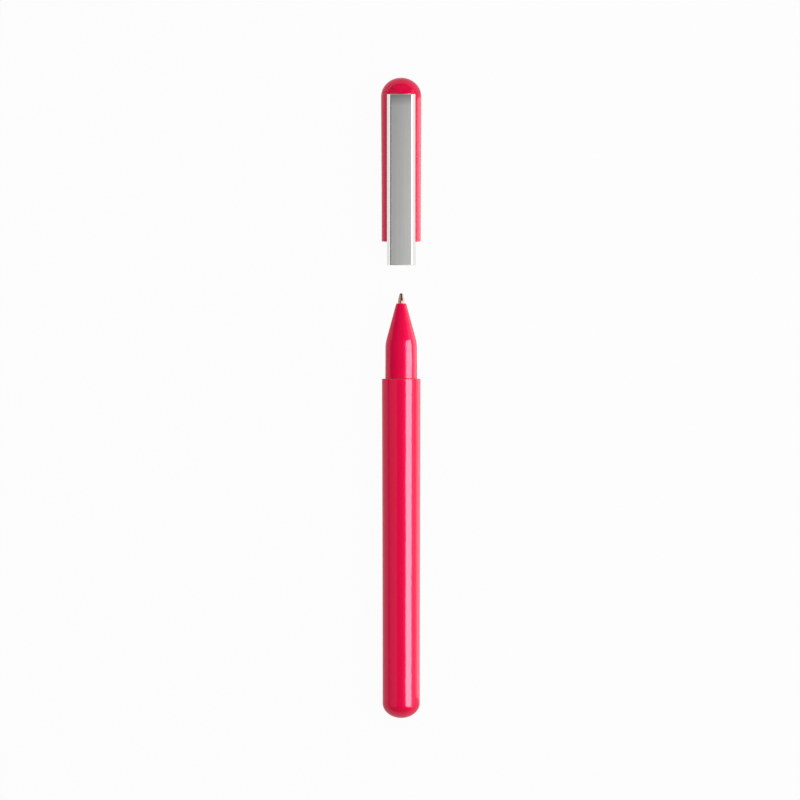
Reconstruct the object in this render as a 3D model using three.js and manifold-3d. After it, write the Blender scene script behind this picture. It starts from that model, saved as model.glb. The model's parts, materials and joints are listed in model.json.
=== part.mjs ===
// A slim capped ballpoint pen with a small plug-in memory stick in the domed end of its cap.
// Millimetres. The pen lies along Y with its tail at the low end, and the clip faces +Z.
// The cap is drawn off: it stands in line with the pen, ahead of the writing tip.

import * as THREE from 'three';
import { mergeVertices } from 'three/addons/utils/BufferGeometryUtils.js';
import Module from 'manifold-3d';

const wasm = await Module();
wasm.setup();

// Fits between pieces
const pressGap = 0.05;          // between two pieces that are pressed or glued together
const seatGap = 0.3;            // end gap where one piece stops against another
const capGrip = 0.08;           // radial room between the nose and the cap's liner
const threadPlay = 0.06;        // radial room of the nose's thread in its bush
const refillPlay = 0.12;        // radial room round the refill in the nose
const stickPlay = 0.1;          // room all round the memory stick in its guide
const splitGap = 0.06;          // hairline between the cap and its domed end
const clipHug = 0.3;            // room between the clip and the thickest part of the cap
const ballPlay = 0.05;          // room round the ball in its socket

// Barrel
const barrelWall = 0.56;
const barrelSwell = 0.2;        // how much wider the barrel is at its mouth than at its tail, in radius
const tailDomeHeight = 4.2;
const tailDomeWall = 0.8;
const swellPower = 1.6;         // the sides swell slowly at first and then faster
const mouthRound = 0.2;
const bushWall = 0.62;
const bushLength = 7.7;
const bushInset = 0.15;

// Nose, measured forwards from the barrel's mouth
const noseRadius = 4.44;
const noseTaper = 0.055;        // how much the plain stretch narrows, in radius
const noseCornerAt = 9.95;
const noseBlendRadius = 10.5;
const noseConeDegrees = 15.25;
const noseLength = 20.94;
const noseFrontRound = 0.3;
const noseStep = 0.55;          // how far the threaded spigot stands in from the nose
const spigotLength = 7;
const spigotNeck = 1.2;
const spigotNeckDepth = 0.3;
const spigotBoreRadius = 2.9;
const spigotBoreDepth = 10.5;

// Refill: its length and place set how long the barrel is
const refillLength = 106.8;
const refillInset = 11.45;      // from the end of the barrel's tail to the refill's
const refillRadius = 1.5;
const refillTubeWall = 0.22;
const holderShank = 3;
const holderCollar = 1.25;
const holderTaper = 1.2;
const holderFront = 3.2;
const holderFrontRadius = 1.15;
const inkBoreRadius = 0.35;
const tipStem = 3;
const tipStemRadius = 0.8;
const tipBodyLength = 2.3;
const tipNeckLength = 2.6;
const tipNeckRadius = 0.97;
const tipConeLength = 2.5;
const tipLipRadius = 0.57;
const ballRadius = 0.5;
const ballShows = 0.35;
const seatDiscThickness = 3;
const seatBossRadius = 2.4;
const seatSocketDepth = 4.7;
const seatSocketPlay = 0.1;

// Cap: what it holds sets how long it is
const capTravel = 38.12;        // how far the cap stands off its seat on the barrel's mouth
const capWall = 0.5;
const capSwell = 0.163;
const capStraight = 4.3;        // plain stretch just below the dome
const capDomeHeight = 5.23;
const capSplitBelowTop = 4.12;
const linerWall = 0.37;
const linerInset = 0.3;
const linerFloor = 1;
const linerLead = 0.3;
const tipRoom = 0.85;           // room ahead of the writing tip when the cap is on
const gripRibs = 6;
const gripRibLength = 10;
const gripRibWidth = 0.5;
const gripRibHeight = 0.04;
const gripRibFrom = 3.5;

// Memory stick
const plugWidth = 8.25;
const plugHeight = 2.4;
const plugReach = 6.65;
const plugShellWall = 0.25;
const plugShellTail = 0.6;
const plugMouthSide = 0.675;    // from the outside of the shell to the side of the plug's mouth
const plugMouthEdge = 0.55;     // and to its top and bottom
const plugBlockInset = 0.2;
const plugBlockLength = 5.65;
const contactCount = 12;
const contactPitch = 0.5;
const contactWidth = 0.26;
const contactThickness = 0.2;
const contactInset = 0.55;      // from the plug's front edge
const contactLead = 0.09;
const contactBarDepth = 0.35;
const contactTail = 1.25;
const latchThickness = 0.18;
const latchArm = 0.3;
const latchBar = 0.7;
const latchHook = 0.1;
const latchHookLength = 0.9;
const boardWidth = 7.4;
const boardThickness = 0.6;
const boardBehindBlock = 0.2;
const caseLip = 0.325;          // case material beside the plug
const caseWall = 0.5;
const caseHalfHeight = 2.65;
const caseLength = 6.5;
const caseSplit = 0.1;
const insertFlange = 1.3;
const insertPlug = 1.4;
const insertPlugRadius = 3.8;
const insertPlugRound = 0.35;
const domeWall = 0.7;
const guideWall = 0.34;         // guide material beside the case
const guideToLiner = 0.42;
const guideFloor = 0.6;
const guideEndGap = 0.1;
const memoryChipSize = [6, 4.4, 1];
const controllerSize = [3.6, 3.6, 0.8];
const capacitorSize = [0.5, 1, 0.5];
const capacitorSpacing = 5.8;
const chipSetback = 1.6;        // from the plug end of the case to the chips

// Clip
const clipWidth = 7.9;
const clipLength = 47.48;
const clipBelowSplit = 0.69;
const clipWall = 0.6;
const clipDepth = 2.6;
const clipBendRadius = 1.1;
const clipEndRound = 0.35;
const clipFaceGap = 0.55;       // from the hug circle to the inside of the face
const bumpRadius = 1.2;
const bumpWidth = 3.4;
const bumpAboveMouth = 5;
const bracketWidth = 5.4;
const bracketLength = 9;
const bracketFromTop = 1.8;
const bracketClipGap = 0.3;
const rivetRadius = 0.55;
const rivetHeadRadius = 0.95;
const rivetHeadThickness = 0.35;
const rivetSpacing = 4;
const rivetPlay = 0.07;

// Facets round the large and the small turned pieces, and steps along curves
const wideFacets = 40;
const slimFacets = 20;
const ballFacets = 16;
const sectionSteps = 10;
const arcSteps = 4;
const domeSteps = 9;
const hollowDomeSteps = 5;
const swellSteps = 7;
const endRoundSteps = 3;
const weldDistance = 1e-5;
const overcut = 1;              // how far a cutting tool reaches past what it cuts

// Sizes that follow from the ones above
const noseSpigotRadius = noseRadius - noseStep;
const bushBoreRadius = noseSpigotRadius + threadPlay;
const bushRadius = bushBoreRadius + bushWall;
const barrelBoreRadius = bushRadius + pressGap;
const barrelTailRadius = barrelBoreRadius + barrelWall;
const barrelMouthRadius = barrelTailRadius + barrelSwell;

// The cap's bore takes the wider of what it holds: the nose in its liner, or the plug in its guide.
const linerBoreRadius = noseRadius + capGrip;
const caseRadius = plugWidth / 2 + caseLip;
const guideBoreRadius = caseRadius + stickPlay;
const plugMouthWidth = plugWidth - 2 * plugMouthSide;
const plugMouthHeight = plugHeight - 2 * plugMouthEdge;
const linerRadius = Math.max(linerBoreRadius + linerWall, guideBoreRadius + guideWall);
const capBoreRadius = linerRadius + pressGap;
const capMouthRadius = capBoreRadius + capWall;
const capTopRadius = capMouthRadius + capSwell;

const refillTail = refillInset;
const tipEnd = refillTail + refillLength;
const ballCentre = tipEnd - ballRadius;
const tipConeEnd = tipEnd - ballShows;
const noseFront = tipConeEnd - tipConeLength;
const barrelLength = noseFront - noseLength;
const tipBodyTo = noseFront - tipNeckLength;
const tipBodyFrom = tipBodyTo - tipBodyLength;
const holderTo = tipBodyFrom - pressGap;
const holderFrontFrom = holderTo - holderFront;
const holderCollarTo = holderFrontFrom - holderTaper;
const holderCollarFrom = holderCollarTo - holderCollar;
const holderFrom = holderCollarFrom - holderShank;
const refillTubeTo = holderCollarFrom - pressGap;

const capMouth = barrelLength + pressGap + capTravel;
const linerFloorFrom = capMouth + (tipEnd - barrelLength) + tipRoom;
const linerTo = linerFloorFrom + linerFloor;
const guideFrom = linerTo + guideToLiner;
const plugFront = guideFrom + guideFloor + seatGap;
const caseFrom = plugFront + plugReach;
const caseTo = caseFrom + caseLength;
const insertFrom = caseTo + pressGap;
const guideTo = insertFrom - guideEndGap;
const capSplit = insertFrom + insertFlange + pressGap;
const capTop = capSplit + capSplitBelowTop;
const capDomeFrom = capTop - capDomeHeight;

const clipTop = capSplit - clipBelowSplit;
const clipEnd = clipTop - clipLength;
const hugRadius = capTopRadius + clipHug;
const clipFaceInside = hugRadius + clipFaceGap;
const clipFace = clipFaceInside + clipWall;
const bracketTop = clipFaceInside - bracketClipGap;
const rivetFoot = capBoreRadius - rivetHeadThickness - rivetPlay - pressGap;

// Materials
function material(color, roughness, metalness) {
  return new THREE.MeshStandardMaterial({ color, roughness, metalness });
}

const pinkLacquer = material(0xe8003f, 0.22, 0.35);
const brushedSteel = material(0xa3a3a1, 0.38, 1);
const nickelBrass = material(0xc2a98b, 0.25, 1);
const polishedSteel = material(0xc9cacb, 0.15, 1);
const whitePlastic = material(0xe9e8e4, 0.5, 0);
const blackPlastic = material(0x1c1c1e, 0.5, 0);
const boardGreen = material(0x1f5b3a, 0.45, 0);
const chipBlack = material(0x232325, 0.6, 0);
const goldPlate = material(0xd8b25a, 0.25, 1);
const tanCeramic = material(0xb59a78, 0.6, 0);

// Joining and cutting
function solidOf(geometry) {
  const bare = geometry.clone();
  bare.deleteAttribute('normal');
  bare.deleteAttribute('uv');
  const welded = mergeVertices(bare, weldDistance);
  const mesh = new wasm.Mesh({
    numProp: 3,
    vertProperties: new Float32Array(welded.attributes.position.array),
    triVerts: new Uint32Array(welded.index.array),
  });
  return new wasm.Manifold(mesh);
}

function geometryOf(solid) {
  const mesh = solid.getMesh();
  const geometry = new THREE.BufferGeometry();
  geometry.setAttribute('position', new THREE.BufferAttribute(mesh.vertProperties, 3));
  geometry.setIndex(new THREE.BufferAttribute(mesh.triVerts, 1));
  geometry.computeVertexNormals();
  return geometry;
}

function cut(geometry, tools) {
  let solid = solidOf(geometry);
  for (const tool of tools) {
    solid = solid.subtract(solidOf(tool));
  }
  return geometryOf(solid);
}

function join(geometry, additions) {
  let solid = solidOf(geometry);
  for (const addition of additions) {
    solid = solid.add(solidOf(addition));
  }
  return geometryOf(solid);
}

// Corners are [across, along, round]; a round turns its corner into an arc of that radius.
function rounded(corners, closed) {
  const points = [];
  corners.forEach(([x, y, round = 0], i) => {
    const corner = new THREE.Vector2(x, y);
    const isEnd = !closed && (i === 0 || i === corners.length - 1);
    if (round === 0 || isEnd) {
      points.push(corner);
      return;
    }
    const before = corners[(i + corners.length - 1) % corners.length];
    const after = corners[(i + 1) % corners.length];
    const back = new THREE.Vector2(before[0] - x, before[1] - y).normalize();
    const ahead = new THREE.Vector2(after[0] - x, after[1] - y).normalize();
    const half = Math.acos(THREE.MathUtils.clamp(back.dot(ahead), -1, 1)) / 2;
    const centre = back.clone().add(ahead).normalize();
    centre.multiplyScalar(round / Math.sin(half)).add(corner);
    const start = corner.clone().addScaledVector(back, round / Math.tan(half)).sub(centre);
    const end = corner.clone().addScaledVector(ahead, round / Math.tan(half)).sub(centre);
    const turn = Math.atan2(start.cross(end), start.dot(end));
    for (let step = 0; step <= arcSteps; step += 1) {
      const arm = start.clone().rotateAround(new THREE.Vector2(), (turn * step) / arcSteps);
      points.push(arm.add(centre));
    }
  });
  return points;
}

// Turned pieces. Corners run anticlockwise, with the radius across and Y upwards. A solid
// piece starts and ends on the axis, and a ring closes on itself.
function turned(corners, facets) {
  return new THREE.LatheGeometry(rounded(corners, false), facets);
}

function turnedRing(corners, facets) {
  const profile = rounded(corners, true);
  profile.push(profile[0].clone());
  return new THREE.LatheGeometry(profile, facets);
}

function standing(geometry) {
  return geometry.rotateX(Math.PI / 2);
}

// A section drawn in X and Z, carried along Y.
function alongY(section, from, to, facets = arcSteps) {
  const options = { depth: to - from, bevelEnabled: false, curveSegments: facets };
  return new THREE.ExtrudeGeometry(section, options).rotateX(Math.PI / 2).translate(0, to, 0);
}

// An outline drawn in X and Y, with its thickness along Z.
function plate(outline, low, high) {
  const options = { depth: high - low, bevelEnabled: false, curveSegments: arcSteps };
  return new THREE.ExtrudeGeometry(outline, options).translate(0, 0, low);
}

function block(width, from, to, low, high, across = 0) {
  const box = new THREE.BoxGeometry(width, to - from, high - low);
  return box.translate(across, (from + to) / 2, (low + high) / 2);
}

function circle(radius) {
  return new THREE.Shape().absarc(0, 0, radius, 0, 2 * Math.PI, false);
}

function flattedCircle(radius, halfHeight, low = -halfHeight) {
  const top = Math.asin(halfHeight / radius);
  const bottom = Math.asin(low / radius);
  const shape = new THREE.Shape();
  shape.absarc(0, 0, radius, bottom, top, false);
  shape.absarc(0, 0, radius, Math.PI - top, Math.PI - bottom, false);
  return shape.closePath();
}

function obround(width, height) {
  const straight = (width - height) / 2;
  const shape = new THREE.Shape();
  shape.absarc(straight, 0, height / 2, -Math.PI / 2, Math.PI / 2, false);
  shape.absarc(-straight, 0, height / 2, Math.PI / 2, 1.5 * Math.PI, false);
  return shape.closePath();
}

// Corners up an elliptical dome whose widest circle lies at base, starting at a height above it
// and ending on the axis. Towards is 1 for a dome that rises along Y, and -1 for one that falls.
function domeCorners(radius, height, base, startHeight, towards, steps) {
  const start = Math.asin(startHeight / height);
  return Array.from({ length: steps + 1 }, (_, step) => {
    const angle = start + ((Math.PI / 2 - start) * step) / steps;
    const across = step === steps ? 0 : radius * Math.cos(angle);
    return [across, base + towards * height * Math.sin(angle)];
  });
}

// Corners along a side that swells, slowly at first and then faster.
function swellCorners(radius, swell, from, to) {
  return Array.from({ length: swellSteps + 1 }, (_, step) => {
    const share = step / swellSteps;
    return [radius + swell * share ** swellPower, from + (to - from) * share];
  });
}

// Barrel pieces
function makeBarrel() {
  const tail = domeCorners(barrelTailRadius, tailDomeHeight, tailDomeHeight, 0, -1, domeSteps);
  const side = swellCorners(barrelTailRadius, barrelSwell, tailDomeHeight, barrelLength);
  const innerHeight = tailDomeHeight - tailDomeWall;
  const hollow = domeCorners(barrelBoreRadius, innerHeight, tailDomeHeight, 0, -1, hollowDomeSteps);
  return turned([
    ...tail.reverse(),
    ...side.slice(1, -1),
    [barrelMouthRadius, barrelLength, mouthRound],
    [barrelBoreRadius, barrelLength],
    ...hollow,
  ], wideFacets);
}

function makeThreadBush() {
  const to = barrelLength - bushInset;
  const from = to - bushLength;
  return turnedRing([
    [bushBoreRadius, from],
    [bushRadius, from],
    [bushRadius, to],
    [bushBoreRadius, to],
  ], wideFacets);
}

function makeRefillSeat() {
  const discFrom = tailDomeHeight + seatGap;
  const discTo = discFrom + seatDiscThickness;
  const discRadius = barrelBoreRadius - pressGap;
  const socketFloor = refillTail - seatGap;
  const socketTo = socketFloor + seatSocketDepth;
  const socketRadius = refillRadius + seatSocketPlay;
  return turned([
    [0, discFrom],
    [discRadius, discFrom],
    [discRadius, discTo],
    [seatBossRadius, discTo],
    [seatBossRadius, socketTo],
    [socketRadius, socketTo],
    [socketRadius, socketFloor],
    [0, socketFloor],
  ], slimFacets);
}

// Nose and refill pieces
function makeNose() {
  const spigotFrom = barrelLength - spigotLength;
  const neckFrom = barrelLength - spigotNeck;
  const neckRadius = noseSpigotRadius - spigotNeckDepth;
  const slope = Math.tan(THREE.MathUtils.degToRad(noseConeDegrees));
  const plainRadius = noseRadius - noseTaper;
  const frontRadius = plainRadius - (noseLength - noseCornerAt) * slope;
  const holeRadius = tipNeckRadius + refillPlay;
  const tipBoreRadius = holderFrontRadius + refillPlay;
  const tubeBoreRadius = refillRadius + refillPlay;
  return turnedRing([
    [spigotBoreRadius, spigotFrom],
    [noseSpigotRadius, spigotFrom],
    [noseSpigotRadius, neckFrom],
    [neckRadius, neckFrom],
    [neckRadius, barrelLength],
    [noseRadius, barrelLength],
    [plainRadius, barrelLength + noseCornerAt, noseBlendRadius],
    [frontRadius, noseFront, noseFrontRound],
    [holeRadius, noseFront],
    [holeRadius, tipBodyTo + seatGap],
    [tipBoreRadius, tipBodyTo + seatGap],
    [tipBoreRadius, holderFrontFrom + seatGap],
    [tubeBoreRadius, holderFrontFrom + seatGap - (tubeBoreRadius - tipBoreRadius)],
    [tubeBoreRadius, spigotFrom + spigotBoreDepth],
    [spigotBoreRadius, spigotFrom + spigotBoreDepth],
  ], wideFacets);
}

function makeRefillTube() {
  return turnedRing([
    [refillRadius - refillTubeWall, refillTail],
    [refillRadius, refillTail],
    [refillRadius, refillTubeTo],
    [refillRadius - refillTubeWall, refillTubeTo],
  ], slimFacets);
}

function makeTipHolder() {
  const shankRadius = refillRadius - refillTubeWall - pressGap;
  const stemBoreRadius = tipStemRadius + pressGap;
  const stemBoreFrom = tipBodyFrom - tipStem - pressGap;
  return turnedRing([
    [inkBoreRadius, holderFrom],
    [shankRadius, holderFrom],
    [shankRadius, holderCollarFrom],
    [refillRadius, holderCollarFrom],
    [refillRadius, holderCollarTo],
    [holderFrontRadius, holderFrontFrom],
    [holderFrontRadius, holderTo],
    [stemBoreRadius, holderTo],
    [stemBoreRadius, stemBoreFrom],
    [inkBoreRadius, stemBoreFrom],
  ], slimFacets);
}

function makeRefillTip() {
  const coneFrom = tipConeEnd - tipConeLength;
  const socketRadius = ballRadius + ballPlay;
  const socketFloor = ballCentre - socketRadius;
  return turnedRing([
    [inkBoreRadius, tipBodyFrom - tipStem],
    [tipStemRadius, tipBodyFrom - tipStem],
    [tipStemRadius, tipBodyFrom],
    [holderFrontRadius, tipBodyFrom],
    [holderFrontRadius, tipBodyTo],
    [tipNeckRadius, tipBodyTo],
    [tipNeckRadius, coneFrom],
    [tipLipRadius, tipConeEnd],
    [socketRadius, tipConeEnd],
    [socketRadius, socketFloor],
    [inkBoreRadius, socketFloor],
  ], slimFacets);
}

function makeBall() {
  return new THREE.SphereGeometry(ballRadius, ballFacets, ballFacets).translate(0, ballCentre, 0);
}

// Cap pieces
function rivetPlaces() {
  const middle = capSplit - bracketFromTop - bracketLength / 2;
  return [middle + rivetSpacing / 2, middle - rivetSpacing / 2];
}

function rod(radius, along, low, high, facets = slimFacets) {
  const cylinder = new THREE.CylinderGeometry(radius, radius, high - low, facets);
  return standing(cylinder).translate(0, along, (low + high) / 2);
}

function makeCapSleeve() {
  const side = swellCorners(capMouthRadius, capSwell, capMouth, capDomeFrom - capStraight);
  const dome = domeCorners(capTopRadius, capDomeHeight, capDomeFrom, 0, 1, domeSteps);
  const splitRadius = capTopRadius * Math.sqrt(1 - ((capSplit - capDomeFrom) / capDomeHeight) ** 2);
  const sleeve = turnedRing([
    [capBoreRadius, capMouth],
    [capMouthRadius, capMouth, mouthRound],
    ...side.slice(1),
    ...dome.filter((corner) => corner[1] < capSplit - pressGap),
    [splitRadius, capSplit],
    [capBoreRadius, capSplit],
  ], wideFacets);
  const holes = rivetPlaces().map((along) => {
    return rod(rivetRadius + rivetPlay, along, capBoreRadius - overcut, capTopRadius + overcut);
  });
  return cut(sleeve, holes);
}

function makeLiner() {
  const from = capMouth + linerInset;
  const shell = turned([
    [0, linerFloorFrom],
    [linerBoreRadius, linerFloorFrom],
    [linerBoreRadius, from + linerLead],
    [(linerBoreRadius + linerRadius) / 2, from],
    [linerRadius, from],
    [linerRadius, linerTo],
    [0, linerTo],
  ], wideFacets);
  const ribFrom = capMouth + gripRibFrom;
  const ribs = Array.from({ length: gripRibs }, (_, i) => {
    const low = linerBoreRadius - gripRibHeight;
    const rib = block(gripRibWidth, ribFrom, ribFrom + gripRibLength, low, linerRadius - pressGap);
    return rib.rotateY(((i + 0.5) * 2 * Math.PI) / gripRibs);
  });
  return join(shell, ribs);
}

function makeDriveGuide() {
  const body = alongY(circle(linerRadius), guideFrom, guideTo, wideFacets);
  const caseBore = flattedCircle(guideBoreRadius, caseHalfHeight + stickPlay);
  const plugBore = obround(plugWidth + 2 * stickPlay, plugHeight + 2 * stickPlay);
  const reach = rivetHeadRadius + seatGap;
  const recesses = rivetPlaces().map((along) => {
    return block(2 * reach, along - reach, along + reach, rivetFoot - stickPlay, capBoreRadius + overcut);
  });
  return cut(body, [
    alongY(caseBore, caseFrom - seatGap, guideTo + overcut, sectionSteps),
    alongY(plugBore, guideFrom + guideFloor, caseFrom, sectionSteps),
    ...recesses,
  ]);
}

function makeClipBracket() {
  const lowRadius = capTopRadius + pressGap;
  const half = Math.asin(bracketWidth / 2 / lowRadius);
  const section = new THREE.Shape();
  section.moveTo(bracketWidth / 2, bracketTop);
  section.lineTo(-bracketWidth / 2, bracketTop);
  section.absarc(0, 0, lowRadius, Math.PI / 2 + half, Math.PI / 2 - half, true);
  section.closePath();
  const to = capSplit - bracketFromTop;
  const holes = rivetPlaces().flatMap((along) => [
    rod(rivetRadius + rivetPlay, along, capTopRadius - overcut, bracketTop + overcut),
    rod(rivetHeadRadius + rivetPlay, along, bracketTop - rivetHeadThickness, bracketTop + overcut),
  ]);
  return cut(alongY(section, to - bracketLength, to, sectionSteps), holes);
}

function makeRivet(along) {
  const top = bracketTop - pressGap;
  const headLow = bracketTop - rivetHeadThickness + pressGap;
  const rivet = turned([
    [0, rivetFoot],
    [rivetHeadRadius, rivetFoot],
    [rivetHeadRadius, rivetFoot + rivetHeadThickness],
    [rivetRadius, rivetFoot + rivetHeadThickness],
    [rivetRadius, headLow],
    [rivetHeadRadius, headLow],
    [rivetHeadRadius, top],
    [0, top],
  ], slimFacets);
  return standing(rivet).translate(0, along, 0);
}

// Clip: a folded channel with closed ends, hollowed to hug the cap
function makeClip() {
  const half = clipWidth / 2;
  const bottom = clipFace - clipDepth;
  const section = new THREE.Shape(rounded([
    [half, bottom],
    [half, clipFace, clipBendRadius],
    [-half, clipFace, clipBendRadius],
    [-half, bottom],
  ], true));
  const outside = new THREE.ExtrudeGeometry(section, {
    depth: clipLength - 2 * clipEndRound,
    bevelEnabled: true,
    bevelThickness: clipEndRound,
    bevelSize: clipEndRound,
    bevelOffset: -clipEndRound,
    bevelSegments: endRoundSteps,
  }).rotateX(Math.PI / 2).translate(0, clipTop - clipEndRound, 0);
  const innerHalf = half - clipWall;
  const hollow = new THREE.Shape(rounded([
    [innerHalf, bottom - overcut],
    [innerHalf, clipFaceInside, clipBendRadius - clipWall],
    [-innerHalf, clipFaceInside, clipBendRadius - clipWall],
    [-innerHalf, bottom - overcut],
  ], true));
  const channel = cut(outside, [
    alongY(hollow, clipEnd + clipWall, clipTop - clipWall),
    alongY(circle(hugRadius), clipEnd - overcut, clipTop + overcut, wideFacets),
  ]);
  const bumpAlong = capMouth + bumpAboveMouth;
  const bumpLow = capMouthRadius + clipHug;
  const bump = new THREE.CylinderGeometry(bumpRadius, bumpRadius, bumpWidth, slimFacets);
  bump.rotateZ(Math.PI / 2).translate(0, bumpAlong, bumpLow + bumpRadius);
  const above = block(clipWidth, bumpAlong - 2 * bumpRadius, bumpAlong + 2 * bumpRadius,
    clipFaceInside + clipWall / 2, clipFace + 2 * bumpRadius);
  return join(channel, [cut(bump, [above])]);
}

// Memory stick pieces
function makeDome() {
  const startHeight = capSplit + splitGap - capDomeFrom;
  const hollowRadius = capTopRadius - domeWall;
  const hollowHeight = capDomeHeight - domeWall;
  const outside = domeCorners(capTopRadius, capDomeHeight, capDomeFrom, startHeight, 1, domeSteps);
  const hollow = domeCorners(hollowRadius, hollowHeight, capDomeFrom, startHeight, 1, hollowDomeSteps);
  return turned([...hollow.reverse(), ...outside], wideFacets);
}

function makeDomeInsert() {
  const flangeRadius = capBoreRadius - stickPlay;
  const flangeTo = insertFrom + insertFlange;
  return turned([
    [0, insertFrom],
    [flangeRadius, insertFrom],
    [flangeRadius, flangeTo],
    [insertPlugRadius, flangeTo],
    [insertPlugRadius, flangeTo + insertPlug, insertPlugRound],
    [0, flangeTo + insertPlug],
  ], slimFacets);
}

function makeCaseHalf(side) {
  const outer = flattedCircle(caseRadius, caseHalfHeight, caseSplit / 2);
  const inner = flattedCircle(caseRadius - caseWall, caseHalfHeight - caseWall, -caseWall);
  const slot = obround(plugWidth + 2 * pressGap, plugHeight + 2 * pressGap);
  const half = cut(alongY(outer, caseFrom, caseTo, sectionSteps), [
    alongY(inner, caseFrom + caseWall, caseTo - caseWall, sectionSteps),
    alongY(slot, caseFrom - overcut, caseFrom + plugShellTail + pressGap, sectionSteps),
  ]);
  return side > 0 ? half : half.rotateY(Math.PI);
}

function makePlugShell() {
  const section = obround(plugWidth, plugHeight);
  section.holes.push(obround(plugWidth - 2 * plugShellWall, plugHeight - 2 * plugShellWall));
  return alongY(section, plugFront, caseFrom + plugShellTail, sectionSteps);
}

function makePlugBlock() {
  const fit = 2 * (plugShellWall + pressGap);
  const section = obround(plugWidth - fit, plugHeight - fit);
  const across = plugMouthWidth / 2;
  const up = plugMouthHeight / 2;
  section.holes.push(new THREE.Path([
    new THREE.Vector2(-across, -up),
    new THREE.Vector2(across, -up),
    new THREE.Vector2(across, up),
    new THREE.Vector2(-across, up),
  ]));
  const from = plugFront + plugBlockInset;
  return alongY(section, from, from + plugBlockLength, sectionSteps);
}

// One row of contacts: fingers side by side, held together by a bar near their tails.
function makeContactRow(side) {
  const blockTo = plugFront + plugBlockInset + plugBlockLength;
  const barTo = blockTo - pressGap;
  const barFrom = barTo - contactBarDepth;
  const fingerTo = blockTo + contactTail;
  const fingerFrom = plugFront + contactInset;
  const first = (-(contactCount - 1) * contactPitch) / 2;
  const centres = Array.from({ length: contactCount }, (_, i) => first + i * contactPitch);
  const half = contactWidth / 2;
  const outline = new THREE.Shape();
  outline.moveTo(centres[0] - half, barFrom);
  centres.forEach((centre, i) => {
    if (i > 0) {
      outline.lineTo(centre - half, barFrom);
    }
    outline.lineTo(centre - half, fingerFrom + contactLead);
    outline.lineTo(centre, fingerFrom);
    outline.lineTo(centre + half, fingerFrom + contactLead);
    outline.lineTo(centre + half, barFrom);
  });
  [...centres].reverse().forEach((centre) => {
    outline.lineTo(centre + half, barTo);
    outline.lineTo(centre + half, fingerTo);
    outline.lineTo(centre - half, fingerTo);
    outline.lineTo(centre - half, barTo);
  });
  outline.closePath();
  const high = plugMouthHeight / 2 - pressGap;
  const low = high - contactThickness;
  return side > 0 ? plate(outline, low, high) : plate(outline, -high, -low);
}

function makeLatch() {
  const to = plugFront + plugBlockInset + plugBlockLength - pressGap;
  const from = plugFront + contactInset;
  const outer = plugMouthWidth / 2 - pressGap - latchHook;
  const inner = outer - latchArm;
  const hookTo = from + latchHookLength;
  const right = [
    [inner, to - latchBar],
    [inner, from],
    [outer + latchHook / 2, from],
    [outer + latchHook, from + latchArm],
    [outer, hookTo],
    [outer, to],
  ];
  const left = right.map(([x, y]) => [-x, y]).reverse();
  const outline = new THREE.Shape([...right, ...left].map(([x, y]) => new THREE.Vector2(x, y)));
  return plate(outline, -latchThickness / 2, latchThickness / 2);
}

function makeBoard() {
  const from = plugFront + plugBlockInset + plugBlockLength + boardBehindBlock;
  return block(boardWidth, from, caseTo - caseWall - pressGap, -boardThickness / 2, boardThickness / 2);
}

function makeChip([width, length, height], side, across = 0) {
  const from = caseFrom + chipSetback;
  const surface = boardThickness / 2;
  const [low, high] = side > 0 ? [surface, surface + height] : [-surface - height, -surface];
  return block(width, from, from + length, low, high, across);
}

// Assembly
function piece(name, geometry, finish) {
  const mesh = new THREE.Mesh(geometry, finish);
  mesh.name = name;
  return mesh;
}

const pen = new THREE.Group();
pen.position.set(0, -capTop / 2, capTopRadius);

const barrelGroup = new THREE.Group();
barrelGroup.add(
  piece('barrel', makeBarrel(), pinkLacquer),
  piece('thread_bush', makeThreadBush(), nickelBrass),
  piece('refill_seat', makeRefillSeat(), whitePlastic),
);

const frontGroup = new THREE.Group();
frontGroup.add(
  piece('nose_section', makeNose(), pinkLacquer),
  piece('refill_tube', makeRefillTube(), nickelBrass),
  piece('tip_holder', makeTipHolder(), nickelBrass),
  piece('refill_tip', makeRefillTip(), nickelBrass),
  piece('writing_ball', makeBall(), polishedSteel),
);

const capGroup = new THREE.Group();
const [upperRivet, lowerRivet] = rivetPlaces();
capGroup.add(
  piece('cap_sleeve', makeCapSleeve(), pinkLacquer),
  piece('inner_cap', makeLiner(), whitePlastic),
  piece('drive_guide', makeDriveGuide(), blackPlastic),
  piece('clip_bracket', makeClipBracket(), polishedSteel),
  piece('clip_rivet_upper', makeRivet(upperRivet), polishedSteel),
  piece('clip_rivet_lower', makeRivet(lowerRivet), polishedSteel),
  piece('clip', makeClip(), brushedSteel),
);

const driveGroup = new THREE.Group();
driveGroup.add(
  piece('drive_dome', makeDome(), pinkLacquer),
  piece('dome_insert', makeDomeInsert(), blackPlastic),
  piece('drive_case_upper', makeCaseHalf(1), blackPlastic),
  piece('drive_case_lower', makeCaseHalf(-1), blackPlastic),
  piece('circuit_board', makeBoard(), boardGreen),
  piece('memory_chip', makeChip(memoryChipSize, 1), chipBlack),
  piece('controller_chip', makeChip(controllerSize, -1), chipBlack),
  piece('capacitor_left', makeChip(capacitorSize, -1, -capacitorSpacing / 2), tanCeramic),
  piece('capacitor_right', makeChip(capacitorSize, -1, capacitorSpacing / 2), tanCeramic),
  piece('plug_shell', makePlugShell(), polishedSteel),
  piece('plug_insulator', makePlugBlock(), blackPlastic),
  piece('plug_contacts_upper', makeContactRow(1), goldPlate),
  piece('plug_contacts_lower', makeContactRow(-1), goldPlate),
  piece('plug_latch', makeLatch(), polishedSteel),
);

pen.add(barrelGroup, frontGroup, capGroup, driveGroup);

export default pen;
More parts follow.
